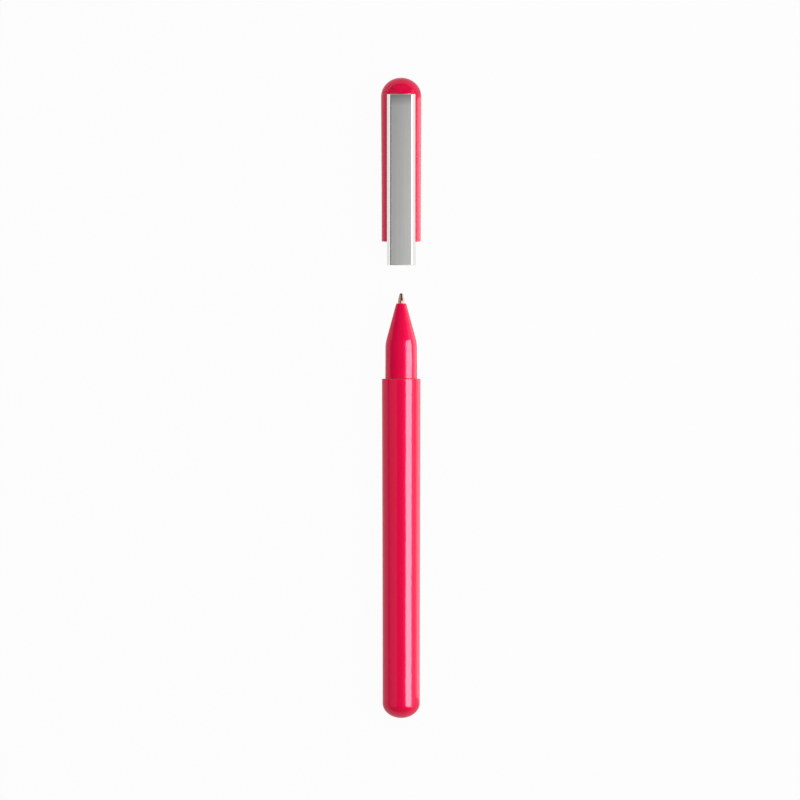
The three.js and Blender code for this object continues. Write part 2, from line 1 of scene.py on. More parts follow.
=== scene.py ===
import json
import math
import bmesh
import bpy
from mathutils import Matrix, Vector


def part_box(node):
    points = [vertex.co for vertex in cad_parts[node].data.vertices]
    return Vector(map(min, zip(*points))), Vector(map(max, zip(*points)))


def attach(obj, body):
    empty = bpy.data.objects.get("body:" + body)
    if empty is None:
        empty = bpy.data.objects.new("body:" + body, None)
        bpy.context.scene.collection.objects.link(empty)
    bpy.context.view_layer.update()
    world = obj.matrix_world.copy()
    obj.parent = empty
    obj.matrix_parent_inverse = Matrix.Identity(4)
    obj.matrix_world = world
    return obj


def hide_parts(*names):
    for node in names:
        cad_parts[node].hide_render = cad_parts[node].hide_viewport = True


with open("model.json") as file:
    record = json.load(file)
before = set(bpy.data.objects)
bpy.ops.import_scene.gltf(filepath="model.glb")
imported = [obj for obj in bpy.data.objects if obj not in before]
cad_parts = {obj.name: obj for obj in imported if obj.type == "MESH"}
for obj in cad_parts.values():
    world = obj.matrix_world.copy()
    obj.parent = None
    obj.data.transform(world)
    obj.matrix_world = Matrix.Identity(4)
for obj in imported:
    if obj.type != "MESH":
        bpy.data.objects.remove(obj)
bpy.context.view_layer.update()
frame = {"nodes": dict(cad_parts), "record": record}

mm = 0.001
hair = 0.001  # in millimetres: less than this is the same place

# The pen lies along Y. Profiles give the distance from its axis and from the end of its tail,
# in millimetres.
barrelLow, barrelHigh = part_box("barrel")
tailAt = barrelLow.y
axisHeight = (barrelLow.z + barrelHigh.z) / 2
print("frame loaded:", len(frame["nodes"]), "nodes")


# Helpers
def addObject(name, data):
    thing = bpy.data.objects.new(name, data)
    bpy.context.scene.collection.objects.link(thing)
    return thing


def meshFrom(name, work):
    mesh = bpy.data.meshes.new(name)
    work.to_mesh(mesh)
    work.free()
    return mesh


def addNode(tree, kind, inputs=None, **settings):
    node = tree.nodes.new(kind)
    for key, value in settings.items():
        setattr(node, key, value)
    for key, value in (inputs or {}).items():
        if isinstance(value, bpy.types.NodeSocket):
            tree.links.new(value, node.inputs[key])
        else:
            node.inputs[key].default_value = value
    return node


def link(start, end):
    end.id_data.links.new(start, end)


def calc(operation, first, second=0.0, clamp=False):
    # its node goes into the tree that its sockets are in
    sockets = [value for value in (first, second) if isinstance(value, bpy.types.NodeSocket)]
    settings = {"operation": operation, "use_clamp": clamp}
    return addNode(sockets[0].id_data, "ShaderNodeMath", {0: first, 1: second}, **settings).outputs[0]


def plus(first, second, clamp=False):
    return calc("ADD", first, second, clamp)


def minus(first, second, clamp=False):
    return calc("SUBTRACT", first, second, clamp)


def times(first, second, clamp=False):
    return calc("MULTIPLY", first, second, clamp)


def over(first, second, clamp=False):
    return calc("DIVIDE", first, second, clamp)


def split(vector):
    return addNode(vector.id_data, "ShaderNodeSeparateXYZ", {0: vector}).outputs


def join(tree, parts):
    return addNode(tree, "ShaderNodeCombineXYZ", parts).outputs[0]


def noise(where, scale, detail):
    settings = {"Vector": where, "Scale": scale, "Detail": detail}
    return addNode(where.id_data, "ShaderNodeTexNoise", settings).outputs[0]


def openTree(name, kind, inputs, outputs):
    tree = bpy.data.node_groups.new(name, kind)
    for label, socketType, default in inputs:
        socket = tree.interface.new_socket(label, in_out="INPUT", socket_type=socketType)
        if default is not None:
            socket.default_value = default
    for label, socketType in outputs:
        tree.interface.new_socket(label, in_out="OUTPUT", socket_type=socketType)
    return tree, tree.nodes.new("NodeGroupInput").outputs, tree.nodes.new("NodeGroupOutput").inputs


def closePieceTree(tree, geometry, material, result):
    real = addNode(tree, "GeometryNodeRealizeInstances", {"Geometry": geometry}).outputs[0]
    dressed = addNode(tree, "GeometryNodeSetMaterial", {"Geometry": real, "Material": material})
    link(dressed.outputs[0], result["Geometry"])


number = "NodeSocketFloat"
whole = "NodeSocketInt"
place = "NodeSocketVector"
shape = "NodeSocketGeometry"
finish = "NodeSocketMaterial"


# Surface effects that several finishes share
def makeToneDrift():
    tree, given, result = openTree("toneDrift", "ShaderNodeTree", [
        ("Place", place, None), ("Size", number, 0.01), ("Amount", number, 0.05),
    ], [("Factor", number)])
    cloud = noise(given["Place"], over(1.0, given["Size"]), 3.0)
    spread = times(minus(cloud, 0.5), given["Amount"])
    link(plus(spread, 0.5, clamp=True), result["Factor"])
    return tree


grainDetail = {"fine": 2.0, "coarse": 3.0, "coarseScale": 0.13}


def makeLongGrain():
    # fine lines that run along one way: the place is squeezed along it before the noise is read
    tree, given, result = openTree("longGrain", "ShaderNodeTree", [
        ("Place", place, None), ("Across", number, 20000.0), ("Along", number, 60.0),
    ], [("Height", number), ("Streaks", number)])
    parts = split(given["Place"])
    squeezed = join(tree, {
        0: times(parts[0], given["Across"]),
        1: times(parts[1], given["Along"]),
        2: times(parts[2], given["Across"]),
    })
    fine = noise(squeezed, 1.0, grainDetail["fine"])
    coarse = noise(squeezed, grainDetail["coarseScale"], grainDetail["coarse"])
    link(fine, result["Height"])
    link(coarse, result["Streaks"])
    return tree


def makeTurnedRings():
    # rings left by the lathe, round the pen's axis
    tree, given, result = openTree("turnedRings", "ShaderNodeTree", [
        ("Place", place, None), ("Spacing", number, 0.0001),
    ], [("Height", number)])
    along = over(split(given["Place"])[1], given["Spacing"])
    settings = {"W": along, "Scale": 1.0, "Detail": 2.0}
    rings = addNode(tree, "ShaderNodeTexNoise", settings, noise_dimensions="1D")
    link(rings.outputs[0], result["Height"])
    return tree


scratches = {"slants": (0.5, -0.9), "stretch": (9.0, 0.35, 9.0), "thinness": 60.0}
patches = {"scale": 130.0, "from": 0.52, "contrast": 6.0}


def makeHandlingMarks():
    # hair-fine scratches in two slanting directions, and soft smudges
    tree, given, result = openTree("handlingMarks", "ShaderNodeTree", [
        ("Place", place, None), ("Fineness", number, 900.0), ("Amount", number, 0.3),
    ], [("Scratches", number), ("Smudges", number)])
    marks = None
    for slant in scratches["slants"]:
        turned = addNode(tree, "ShaderNodeMapping", {
            "Vector": given["Place"], "Rotation": (slant, slant / 3, slant),
        })
        thin = addNode(tree, "ShaderNodeVectorMath", {
            0: turned.outputs[0], 1: scratches["stretch"],
        }, operation="MULTIPLY")
        cloud = noise(thin.outputs[0], given["Fineness"], 1.0)
        distance = calc("ABSOLUTE", minus(cloud, 0.5))
        line = minus(1.0, times(distance, scratches["thinness"]), clamp=True)
        marks = line if marks is None else calc("MAXIMUM", marks, line)
    cloud = noise(given["Place"], patches["scale"], 2.0)
    where = times(minus(cloud, patches["from"]), patches["contrast"], clamp=True)
    link(times(times(marks, where), given["Amount"]), result["Scratches"])
    link(times(cloud, given["Amount"]), result["Smudges"])
    return tree


rubbing = {"scale": 1400.0, "detail": 4.0, "from": 0.45, "contrast": 5.0}


def makeEdgeWear():
    # the piece's own edge attribute is 1 on its rounded corners
    tree, given, result = openTree("edgeWear", "ShaderNodeTree", [
        ("Place", place, None), ("Amount", number, 0.5),
    ], [("Mask", number)])
    edge = addNode(tree, "ShaderNodeAttribute", attribute_name="edge").outputs["Fac"]
    cloud = noise(given["Place"], rubbing["scale"], rubbing["detail"])
    broken = times(minus(cloud, rubbing["from"]), rubbing["contrast"], clamp=True)
    link(times(times(edge, broken), given["Amount"]), result["Mask"])
    return tree


toneDrift = makeToneDrift()
longGrain = makeLongGrain()
turnedRings = makeTurnedRings()
handlingMarks = makeHandlingMarks()
edgeWear = makeEdgeWear()
print("surface effects made")


# Finishes
def startFinish(name, **values):
    material = bpy.data.materials.new(name)
    material.use_nodes = True
    tree = material.node_tree
    tree.nodes.clear()
    surface = addNode(tree, "ShaderNodeBsdfPrincipled")
    for label, value in values.items():
        surface.inputs[label.replace("_", " ")].default_value = value
    output = addNode(tree, "ShaderNodeOutputMaterial")
    link(surface.outputs[0], output.inputs[0])
    where = addNode(tree, "ShaderNodeTexCoord").outputs["Object"]
    return material, surface.inputs, where


def effect(group, **inputs):
    return addNode(inputs["Place"].id_data, "ShaderNodeGroup", inputs, node_tree=group).outputs


def blendColours(factor, first, second):
    ends = [end if isinstance(end, bpy.types.NodeSocket) else (*end, 1.0) for end in (first, second)]
    inputs = {0: factor, 6: ends[0], 7: ends[1]}
    return addNode(factor.id_data, "ShaderNodeMix", inputs, data_type="RGBA").outputs[2]


def paint(surface, where, look):
    # drifts between two tones, and shows a third where edges are rubbed
    drift = effect(toneDrift, Place=where, Size=look["driftSize"], Amount=look["drift"])["Factor"]
    tone = blendColours(drift, look["deep"], look["light"])
    if "rubbed" in look:
        worn = effect(edgeWear, Place=where, Amount=look["wear"])["Mask"]
        tone = blendColours(worn, tone, look["rubbed"])
    link(tone, surface["Base Color"])


def smudge(surface, where, look):
    # smudges roughen the surface; gives its scratches
    marks = effect(handlingMarks, Place=where, Fineness=look["fineness"], Amount=look["marks"])
    rough = plus(look["roughness"], times(marks["Smudges"], look["smudges"]))
    link(rough, surface["Roughness"])
    return marks["Scratches"]


def raiseSurface(surface, height, look):
    inputs = {"Height": height, "Strength": look["bump"], "Distance": look["bumpHeight"]}
    link(addNode(height.id_data, "ShaderNodeBump", inputs).outputs[0], surface["Normal"])


lacquer = {
    "light": (0.92, 0.0, 0.07), "deep": (0.87, 0.0, 0.058), "driftSize": 20 * mm, "drift": 0.8,
    "rubbed": (0.75, 0.62, 0.6), "wear": 0.35, "metallic": 0.1, "roughness": 0.3,
    "coatRoughness": 0.04, "coatRefraction": 1.8, "coatWeight": 0.25, "underGloss": 0.03,
    "fineness": 700.0, "marks": 0.25, "smudges": 0.1, "scratchDepth": 0.4, "rippleScale": 650.0,
    "bump": 0.25, "bumpHeight": 0.004 * mm,
}


def makeLacquer(name):
    material, surface, where = startFinish(
        name, Metallic=lacquer["metallic"], Coat_Weight=lacquer["coatWeight"],
        Coat_IOR=lacquer["coatRefraction"], Coat_Roughness=lacquer["coatRoughness"],
        Specular_IOR_Level=lacquer["underGloss"])
    paint(surface, where, lacquer)
    scratched = times(smudge(surface, where, lacquer), lacquer["scratchDepth"])
    ripple = noise(where, lacquer["rippleScale"], 2.0)
    raiseSurface(surface, minus(ripple, scratched), lacquer)
    return material


# rootShade and rootReach paint shade on the clip's face: its colour is darkened near its root
steel = {
    "face": (0.5, 0.5, 0.486), "faceStreak": (0.63, 0.63, 0.614), "fineShare": 0.4,
    "rootShade": 0.56, "rootReach": 3.2 * mm, "bend": (0.94, 0.935, 0.925),
    "wall": (0.52, 0.52, 0.51), "wallRoughness": 0.3, "wallFrom": 0.2 * mm, "wallFade": 0.9 * mm,
    "faceHalfWidth": 2.86 * mm, "blendWidth": 0.03 * mm, "faceDrop": 0.035 * mm,
    "grainAcross": 16000.0, "grainAlong": 90.0, "grainFade": 0.5 * mm, "faceRoughness": 0.32,
    "faceUneven": 0.08, "bendRoughness": 0.08, "fineness": 600.0, "marks": 0.3, "smudges": 0.02,
    "scratchDepth": 0.2, "bump": 0.3, "bumpHeight": 0.003 * mm,
}


def makeBrushedSteel(name):
    # the clip's flat face is brushed, its bends are polished and its walls grow darker and rougher towards
    # the cap; near its root the face's colour is darkened as painted shade
    material, surface, where = startFinish(name, Metallic=1.0)
    parts = split(where)
    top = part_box("clip")[1]
    inside = minus(steel["faceHalfWidth"], calc("ABSOLUTE", parts[0]))
    below = minus(top.z, parts[2])
    acrossMask = over(inside, steel["blendWidth"], clamp=True)
    heightMask = minus(1.0, over(below, steel["faceDrop"]), clamp=True)
    onFace = times(acrossMask, heightMask)
    downWall = over(minus(below, steel["wallFrom"]), steel["wallFade"], clamp=True)
    fade = over(inside, steel["grainFade"], clamp=True)
    grain = effect(longGrain, Place=where, Across=steel["grainAcross"], Along=steel["grainAlong"])
    marks = effect(handlingMarks, Place=where, Fineness=steel["fineness"], Amount=steel["marks"])

    # colour
    coarse = times(grain["Streaks"], 1 - steel["fineShare"])
    streaks = plus(coarse, times(grain["Height"], steel["fineShare"]))
    brushed = blendColours(streaks, steel["face"], steel["faceStreak"])
    # painted shade: the face's colour is darkened towards its root, fading out over rootReach
    fromRoot = minus(top.y, parts[1])
    rootShadeMask = minus(1.0, over(fromRoot, steel["rootReach"]), clamp=True)
    paintedRootShade = tuple(channel * steel["rootShade"] for channel in steel["face"])
    brushed = blendColours(rootShadeMask, brushed, paintedRootShade)
    polished = blendColours(downWall, steel["bend"], steel["wall"])
    link(blendColours(onFace, polished, brushed), surface["Base Color"])

    # roughness
    uneven = times(times(grain["Streaks"], fade), steel["faceUneven"])
    brushedRough = plus(steel["faceRoughness"], uneven)
    duller = times(downWall, steel["wallRoughness"] - steel["bendRoughness"])
    smudged = times(marks["Smudges"], steel["smudges"])
    polishedRough = plus(plus(steel["bendRoughness"], duller), smudged)
    ends = {0: onFace, 2: polishedRough, 3: brushedRough}
    rough = addNode(material.node_tree, "ShaderNodeMix", ends)
    link(rough.outputs[0], surface["Roughness"])

    # height
    lifted = times(minus(grain["Height"], 0.5), fade)
    scratched = times(marks["Scratches"], steel["scratchDepth"])
    raiseSurface(surface, minus(times(lifted, heightMask), scratched), steel)
    return material


# scratchHeight is negative where marks go into the metal
metals = {
    "polished_steel": {
        "deep": (0.62, 0.62, 0.63), "light": (0.74, 0.74, 0.74), "driftSize": 3 * mm, "drift": 0.7,
        "rubbed": (0.86, 0.86, 0.86), "wear": 0.5, "roughness": 0.1, "smudges": 0.25,
        "fineness": 900.0, "marks": 0.5, "scratchHeight": -1.0, "bump": 0.3, "bumpHeight": 0.004 * mm,
    },
    "nickel_brass": {
        "deep": (0.5, 0.3, 0.25), "light": (0.62, 0.39, 0.33), "driftSize": 2 * mm, "drift": 0.9,
        "rubbed": (0.8, 0.58, 0.5), "wear": 0.6, "roughness": 0.1, "smudges": 0.1, "rings": 0.05 * mm,
        "fineness": 1500.0, "marks": 0.5, "scratchHeight": -1.0, "bump": 0.2, "bumpHeight": 0.003 * mm,
    },
    "gold_plate": {
        "deep": (0.68, 0.43, 0.11), "light": (0.84, 0.58, 0.2), "driftSize": 0.8 * mm, "drift": 0.8,
        "roughness": 0.2, "smudges": 0.2,
        "fineness": 2500.0, "marks": 0.5, "scratchHeight": 1.0, "bump": 0.2, "bumpHeight": 0.002 * mm,
    },
    "carbide": {
        "deep": (0.03, 0.03, 0.032), "light": (0.055, 0.055, 0.058), "driftSize": 0.4 * mm, "drift": 0.8,
        "roughness": 0.16, "smudges": 0.2,
        "fineness": 4000.0, "marks": 0.5, "scratchHeight": 1.0, "bump": 0.2, "bumpHeight": 0.001 * mm,
    },
}


def makeMetal(name, look):
    material, surface, where = startFinish(name, Metallic=1.0)
    paint(surface, where, look)
    height = times(smudge(surface, where, look), look["scratchHeight"])
    if "rings" in look:
        rings = effect(turnedRings, Place=where, Spacing=look["rings"])["Height"]
        height = plus(rings, height)
    raiseSurface(surface, height, look)
    return material


moulding = {
    "driftSize": 4 * mm, "drift": 0.9, "wear": 0.3, "rubbedGain": 1.6, "rubbedLift": 0.02,
    "fineness": 900.0, "marks": 0.4, "smudges": 0.2, "bump": 0.3, "bumpHeight": 0.01 * mm,
}
plastics = {
    "white_plastic": {
        "deep": (0.72, 0.715, 0.69), "light": (0.8, 0.795, 0.77), "roughness": 0.42, "grain": 2600.0,
    },
    "black_plastic": {
        "deep": (0.01, 0.01, 0.011), "light": (0.017, 0.017, 0.018), "roughness": 0.4, "grain": 3200.0,
    },
    "chip_black": {
        "deep": (0.015, 0.015, 0.016), "light": (0.024, 0.024, 0.025), "roughness": 0.55, "grain": 6000.0,
    },
    "tan_ceramic": {
        "deep": (0.4, 0.3, 0.19), "light": (0.5, 0.38, 0.25), "roughness": 0.5, "grain": 5000.0,
    },
}


def makePlastic(name, own):
    gain, lift = moulding["rubbedGain"], moulding["rubbedLift"]
    look = {**moulding, **own, "rubbed": tuple(min(1.0, channel * gain + lift) for channel in own["light"])}
    material, surface, where = startFinish(name)
    paint(surface, where, look)
    pebble = noise(where, look["grain"], 2.0)
    raiseSurface(surface, minus(pebble, smudge(surface, where, look)), look)
    return material


solderMask = {
    "deep": (0.01, 0.1, 0.045), "light": (0.016, 0.14, 0.06), "weaveScale": 900.0, "weaveBend": 1.0,
    "coatWeight": 0.4, "coatRoughness": 0.2, "roughness": 0.35, "fineness": 900.0, "marks": 0.3,
    "smudges": 1.0, "bump": 0.3, "bumpHeight": 0.008 * mm,
}


def makeBoardGreen(name):
    look = solderMask
    material, surface, where = startFinish(
        name, Coat_Weight=look["coatWeight"], Coat_Roughness=look["coatRoughness"])
    weave = addNode(material.node_tree, "ShaderNodeTexWave", {
        "Vector": where, "Scale": look["weaveScale"], "Distortion": look["weaveBend"],
    }).outputs[1]
    link(blendColours(weave, look["deep"], look["light"]), surface["Base Color"])
    smudge(surface, where, look)
    raiseSurface(surface, weave, look)
    return material


finishes = {
    "pink_lacquer": makeLacquer("pinkLacquer"),
    "brushed_steel": makeBrushedSteel("brushedSteel"),
    "board_green": makeBoardGreen("boardGreen"),
}
for looks, maker in ((metals, makeMetal), (plastics, makePlastic)):
    for slotName, look in looks.items():
        first, *rest = slotName.split("_")
        finishes[slotName] = maker(first + "".join(word.title() for word in rest), look)
for entry in frame["record"]["subparts"]:
    for holder in frame["nodes"][entry["node"]].material_slots:
        holder.material = finishes[entry["material_slot"]]
print("finishes made:", len(finishes))


# Turned and swept pieces: a profile goes round an axis, or round an oval with straight sides
turning = {"facets": 128, "threadFlat": 0.12, "weld": 0.0004 * mm}


def makeTurnedTree():
    tree, given, result = openTree("turnedPiece", "GeometryNodeTree", [
        ("Profile", shape, None),
        ("Facets", whole, turning["facets"]),
        ("Axis Height", number, 0.0),
        ("Tail At", number, 0.0),
        ("Straight", number, 0.0),
        ("Swell", number, 0.0),
        ("Swell From", number, 0.0),
        ("Swell To", number, 1.0),
        ("Swell Power", number, 1.0),
        ("Thread Depth", number, 0.0),
        ("Thread Pitch", number, 1.0),
        ("Thread From", number, 0.0),
        ("Thread To", number, 1.0),
        ("Run Out", number, 0.0),
        ("Material", finish, None),
    ], [("Geometry", shape)])
    size = addNode(tree, "GeometryNodeAttributeDomainSize", {0: given["Profile"]})
    count = size.outputs["Point Count"]
    grid = addNode(tree, "GeometryNodeMeshGrid", {
        "Vertices X": count, "Vertices Y": plus(given["Facets"], 1),
    })
    where = addNode(tree, "GeometryNodeInputPosition").outputs[0]
    parts = split(where)
    last = minus(count, 1)
    row = calc("ROUND", times(plus(parts[0], 0.5), last))
    angle = times(plus(parts[1], 0.5), 2 * math.pi)

    def sample(value, kind):
        return addNode(tree, "GeometryNodeSampleIndex", {
            "Geometry": given["Profile"], "Value": value, "Index": row,
        }, data_type=kind, domain="POINT").outputs[0]

    def mark(name):
        stored = addNode(tree, "GeometryNodeInputNamedAttribute", {"Name": name}, data_type="FLOAT")
        return sample(stored.outputs[0], "FLOAT")

    corner = split(sample(where, "FLOAT_VECTOR"))
    radius, along = corner[0], corner[1]

    # the outside swells slowly at first and then faster
    reach = minus(given["Swell To"], given["Swell From"])
    share = over(minus(along, given["Swell From"]), reach, clamp=True)
    swell = times(calc("POWER", share, given["Swell Power"]), given["Swell"])
    radius = plus(radius, times(swell, mark("swells")))

    # the thread climbs one pitch in a turn, and fades out over half a pitch at each end
    flat = turning["threadFlat"]
    climbed = over(minus(along, given["Thread From"]), given["Thread Pitch"])
    phase = calc("FRACT", minus(climbed, over(angle, 2 * math.pi)))
    ramp = calc("ABSOLUTE", minus(times(phase, 2.0), 1.0))
    crest = over(minus(minus(1.0, ramp), flat), 1 - 2 * flat, clamp=True)
    left = over(minus(given["Thread To"], along), given["Thread Pitch"])
    begins = times(climbed, 2.0, clamp=True)
    ends = times(left, 2.0, clamp=True)
    fade = times(begins, ends)
    grooved = times(minus(1.0, crest), fade)
    runOut = times(minus(1.0, fade), given["Run Out"])
    depth = times(plus(grooved, runOut), given["Thread Depth"])
    radius = minus(radius, times(depth, mark("threads")))

    sine = calc("SINE", angle)
    side = times(calc("SIGN", sine), times(given["Straight"], 0.5))
    placed = join(tree, {
        0: plus(times(radius, sine), side),
        1: plus(along, given["Tail At"]),
        2: plus(times(radius, calc("COSINE", angle)), given["Axis Height"]),
    })
    edged = addNode(tree, "GeometryNodeStoreNamedAttribute", {
        "Geometry": grid.outputs[0], "Name": "edge", "Value": mark("edge"),
    }, data_type="FLOAT", domain="POINT")
    moved = addNode(tree, "GeometryNodeSetPosition", {"Geometry": edged.outputs[0], "Position": placed})
    welded = addNode(tree, "GeometryNodeMergeByDistance", {
        "Geometry": moved.outputs[0], "Distance": turning["weld"],
    })
    closePieceTree(tree, welded.outputs[0], given["Material"], result)
    return tree


turnedTree = makeTurnedTree()
arcs = {"fewest": 6, "perMillimetre": 4, "wornBelow": 1}


def bent(corners, closed):
    # corners are (across, along[, round]); gives (across, along, edge)
    points = []
    for index, corner in enumerate(corners):
        x, y = corner[:2]
        size = corner[2] if len(corner) > 2 else 0
        if size == 0:
            points.append((x, y, 0.0))
            continue
        here = Vector((x, y))
        before = Vector(corners[index - 1][:2])
        after = Vector(corners[(index + 1) % len(corners)][:2])
        back = (before - here).normalized()
        ahead = (after - here).normalized()
        half = back.angle(ahead) / 2
        centre = here + (back + ahead).normalized() * (size / math.sin(half))
        start = here + back * (size / math.tan(half)) - centre
        end = here + ahead * (size / math.tan(half)) - centre
        sweep = start.angle_signed(end)
        steps = max(arcs["fewest"], round(abs(sweep) * size * arcs["perMillimetre"]))
        for step in range(steps + 1):
            angle = -sweep * step / steps
            spun = Vector((
                start.x * math.cos(angle) - start.y * math.sin(angle),
                start.x * math.sin(angle) + start.y * math.cos(angle),
            ))
            edge = math.sin(math.pi * step / steps) if size < arcs["wornBelow"] else 0.0
            points.append((*(centre + spun), edge))
    if closed:
        points.append(points[0])
    return points


def domed(radius, height, base, start, towards, steps=28):
    # an elliptical dome from a height above its widest circle to its top on the axis
    first = math.asin(start / height)
    corners = []
    for step in range(steps + 1):
        angle = first + (math.pi / 2 - first) * step / steps
        across = 0.0 if step == steps else radius * math.cos(angle)
        corners.append((across, base + towards * height * math.sin(angle)))
    return corners


def rows(radius, start, end, step):
    count = max(1, round(abs(end - start) / step))
    return [(radius, start + (end - start) * index / count) for index in range(count + 1)]


def evaluated(data, tree, values, name):
    # runs a tree on a mesh, and gives the result as a plain mesh
    worker = addObject(name, data)
    modifier = worker.modifiers.new(name, "NODES")
    modifier.node_group = tree
    for item in tree.interface.items_tree:
        if item.item_type == "SOCKET" and item.in_out == "INPUT" and item.name in values:
            modifier[item.identifier] = values[item.name]
    graph = bpy.context.evaluated_depsgraph_get()
    mesh = bpy.data.meshes.new_from_object(worker.evaluated_get(graph))
    worker.modifiers.remove(modifier)
    bpy.data.objects.remove(worker)
    return mesh


def placePiece(name, mesh, body, slotName, nodes=(), sharpAngle=34, turnFaces=True, look=None):
    # a finished piece: faces outwards, smooth but for its sharp edges, riding on its body;
    # look names a finish that the record has no slot for
    if turnFaces:
        work = bmesh.new()
        work.from_mesh(mesh)
        bmesh.ops.recalc_face_normals(work, faces=work.faces)
        work.to_mesh(mesh)
        work.free()
    mesh.shade_smooth()
    mesh.set_sharp_from_angle(angle=math.radians(sharpAngle))
    mesh.materials.clear()
    mesh.materials.append(finishes[look or slotName])
    piece = addObject(name, mesh)
    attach(piece, body)
    if nodes:
        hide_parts(*nodes)


def turn(name, corners, body, slotName, nodes=(), closed=False, facets=turning["facets"], look=None,
         swells=None, threads=None, **values):
    # swells and threads are tests on a profile point (across, along) for what the tree's rules reach
    points = bent(corners, closed)
    profile = bpy.data.meshes.new(name + "_profile")
    profile.from_pydata([(x * mm, y * mm, 0.0) for x, y, edge in points], [], [])
    for label, test in (("edge", None), ("swells", swells), ("threads", threads)):
        marks = profile.attributes.new(label, "FLOAT", "POINT")
        for index, (x, y, edge) in enumerate(points):
            marks.data[index].value = edge if label == "edge" else float(bool(test and test(x, y)))
    settings = {
        "Facets": facets, "Axis Height": axisHeight, "Tail At": tailAt, "Material": finishes[slotName],
        "Swell To": 1.0, "Swell Power": 1.0, "Thread Pitch": 1.0, "Thread To": 1.0,
        **{label.replace("_", " "): value for label, value in values.items()},
    }
    mesh = evaluated(profile, turnedTree, settings, name)
    bpy.data.meshes.remove(profile)
    mesh.name = name
    placePiece(name, mesh, body, slotName, nodes, look=look)


# Barrel
barrel = {
    "length": 94.46, "bore": 4.62, "tailRadius": 5.18, "swell": 0.2, "swellPower": 1.6,
    "rowStep": 1.5, "domeHeight": 4.2, "domeWall": 0.8, "hollowSteps": 12, "mouthRound": 0.2,
    "boreRound": 0.08,
}


def makeBarrel():
    size = barrel
    height, outside = size["domeHeight"], size["tailRadius"]
    tail = domed(outside, height, height, 0, -1)
    side = rows(outside, height, size["length"], size["rowStep"])
    hollow = domed(size["bore"], height - size["domeWall"], height, 0, -1, size["hollowSteps"])
    corners = [
        *reversed(tail), *side[1:-1],
        (outside, size["length"], size["mouthRound"]),
        (size["bore"], size["length"], size["boreRound"]),
        *hollow,
    ]
    middle = (size["bore"] + outside) / 2
    turn("barrel_tube", corners, "barrel", "pink_lacquer", ["barrel"],
         swells=lambda x, y: x > middle, Swell=size["swell"] * mm, Swell_Power=size["swellPower"],
         Swell_From=height * mm, Swell_To=size["length"] * mm)


# The nose screws into a bush in the barrel's mouth. Both threads come from the same rule, and the
# bush's starts a whole number of turns before the nose's, so that they mesh.
thread = {"pitch": 1.0, "depth": 0.34, "rowStep": 0.07, "turnsBefore": 3}
bush = {"from": 86.61, "to": 94.31, "bore": 3.95, "outside": 4.57, "lead": 0.1, "threadPast": 1}
nose = {
    "radius": 4.44, "taper": 0.055, "straight": 1, "cornerAt": 104.41, "cornerRound": 10.5,
    "front": 115.4, "frontRadius": 1.389, "frontRound": 0.22, "shoulderRound": 0.12,
    "spigotFrom": 87.46, "spigotRadius": 3.89, "spigotBore": 2.9, "spigotRound": 0.1,
    "neckFrom": 93.26, "neckRadius": 3.55, "tubeBore": 1.62, "tubeBoreFrom": 97.96, "tipBore": 1.27,
    "tipBoreFrom": 107.55, "hole": 1.09, "holeFrom": 113.1,
}


def makeThreadBush():
    size = bush
    lead, wide = size["lead"], size["bore"] + size["lead"]
    corners = [
        (wide, size["from"]),
        (size["outside"], size["from"], lead),
        (size["outside"], size["to"], lead),
        (wide, size["to"]),
        *rows(size["bore"], size["to"] - lead, size["from"] + lead, thread["rowStep"]),
    ]
    starts = nose["spigotFrom"] * mm - thread["turnsBefore"] * thread["pitch"] * mm
    turn("bush_thread", corners, "barrel", "nickel_brass", ["thread_bush"], closed=True,
         threads=lambda x, y: x < size["bore"] + lead / 2,
         Thread_Depth=thread["depth"] * mm, Thread_Pitch=thread["pitch"] * mm,
         Thread_From=starts, Thread_To=(size["to"] + size["threadPast"]) * mm)


def makeNose():
    size = nose
    shoulder = barrel["length"]
    step = size["tubeBore"] - size["tipBore"]
    corners = [
        (size["spigotBore"], size["spigotFrom"], size["spigotRound"]),
        *rows(size["spigotRadius"], size["spigotFrom"], size["neckFrom"], thread["rowStep"]),
        (size["neckRadius"], size["neckFrom"]),
        (size["neckRadius"], shoulder),
        (size["radius"], shoulder, size["shoulderRound"]),
        (size["radius"], shoulder + size["straight"]),
        (size["radius"] - size["taper"], size["cornerAt"], size["cornerRound"]),
        (size["frontRadius"], size["front"], size["frontRound"]),
        (size["hole"], size["front"]),
        (size["hole"], size["holeFrom"]),
        (size["tipBore"], size["holeFrom"]),
        (size["tipBore"], size["tipBoreFrom"]),
        (size["tubeBore"], size["tipBoreFrom"] - step),
        (size["tubeBore"], size["tubeBoreFrom"]),
        (size["spigotBore"], size["tubeBoreFrom"]),
    ]
    middle = (size["neckRadius"] + size["spigotRadius"]) / 2
    turn("nose_grip", corners, "nose", "pink_lacquer", ["nose_section"], closed=True,
         threads=lambda x, y: x > middle and y <= size["neckFrom"] + hair,
         Thread_Depth=thread["depth"] * mm, Thread_Pitch=thread["pitch"] * mm, Run_Out=1.0,
         Thread_From=size["spigotFrom"] * mm, Thread_To=size["neckFrom"] * mm)


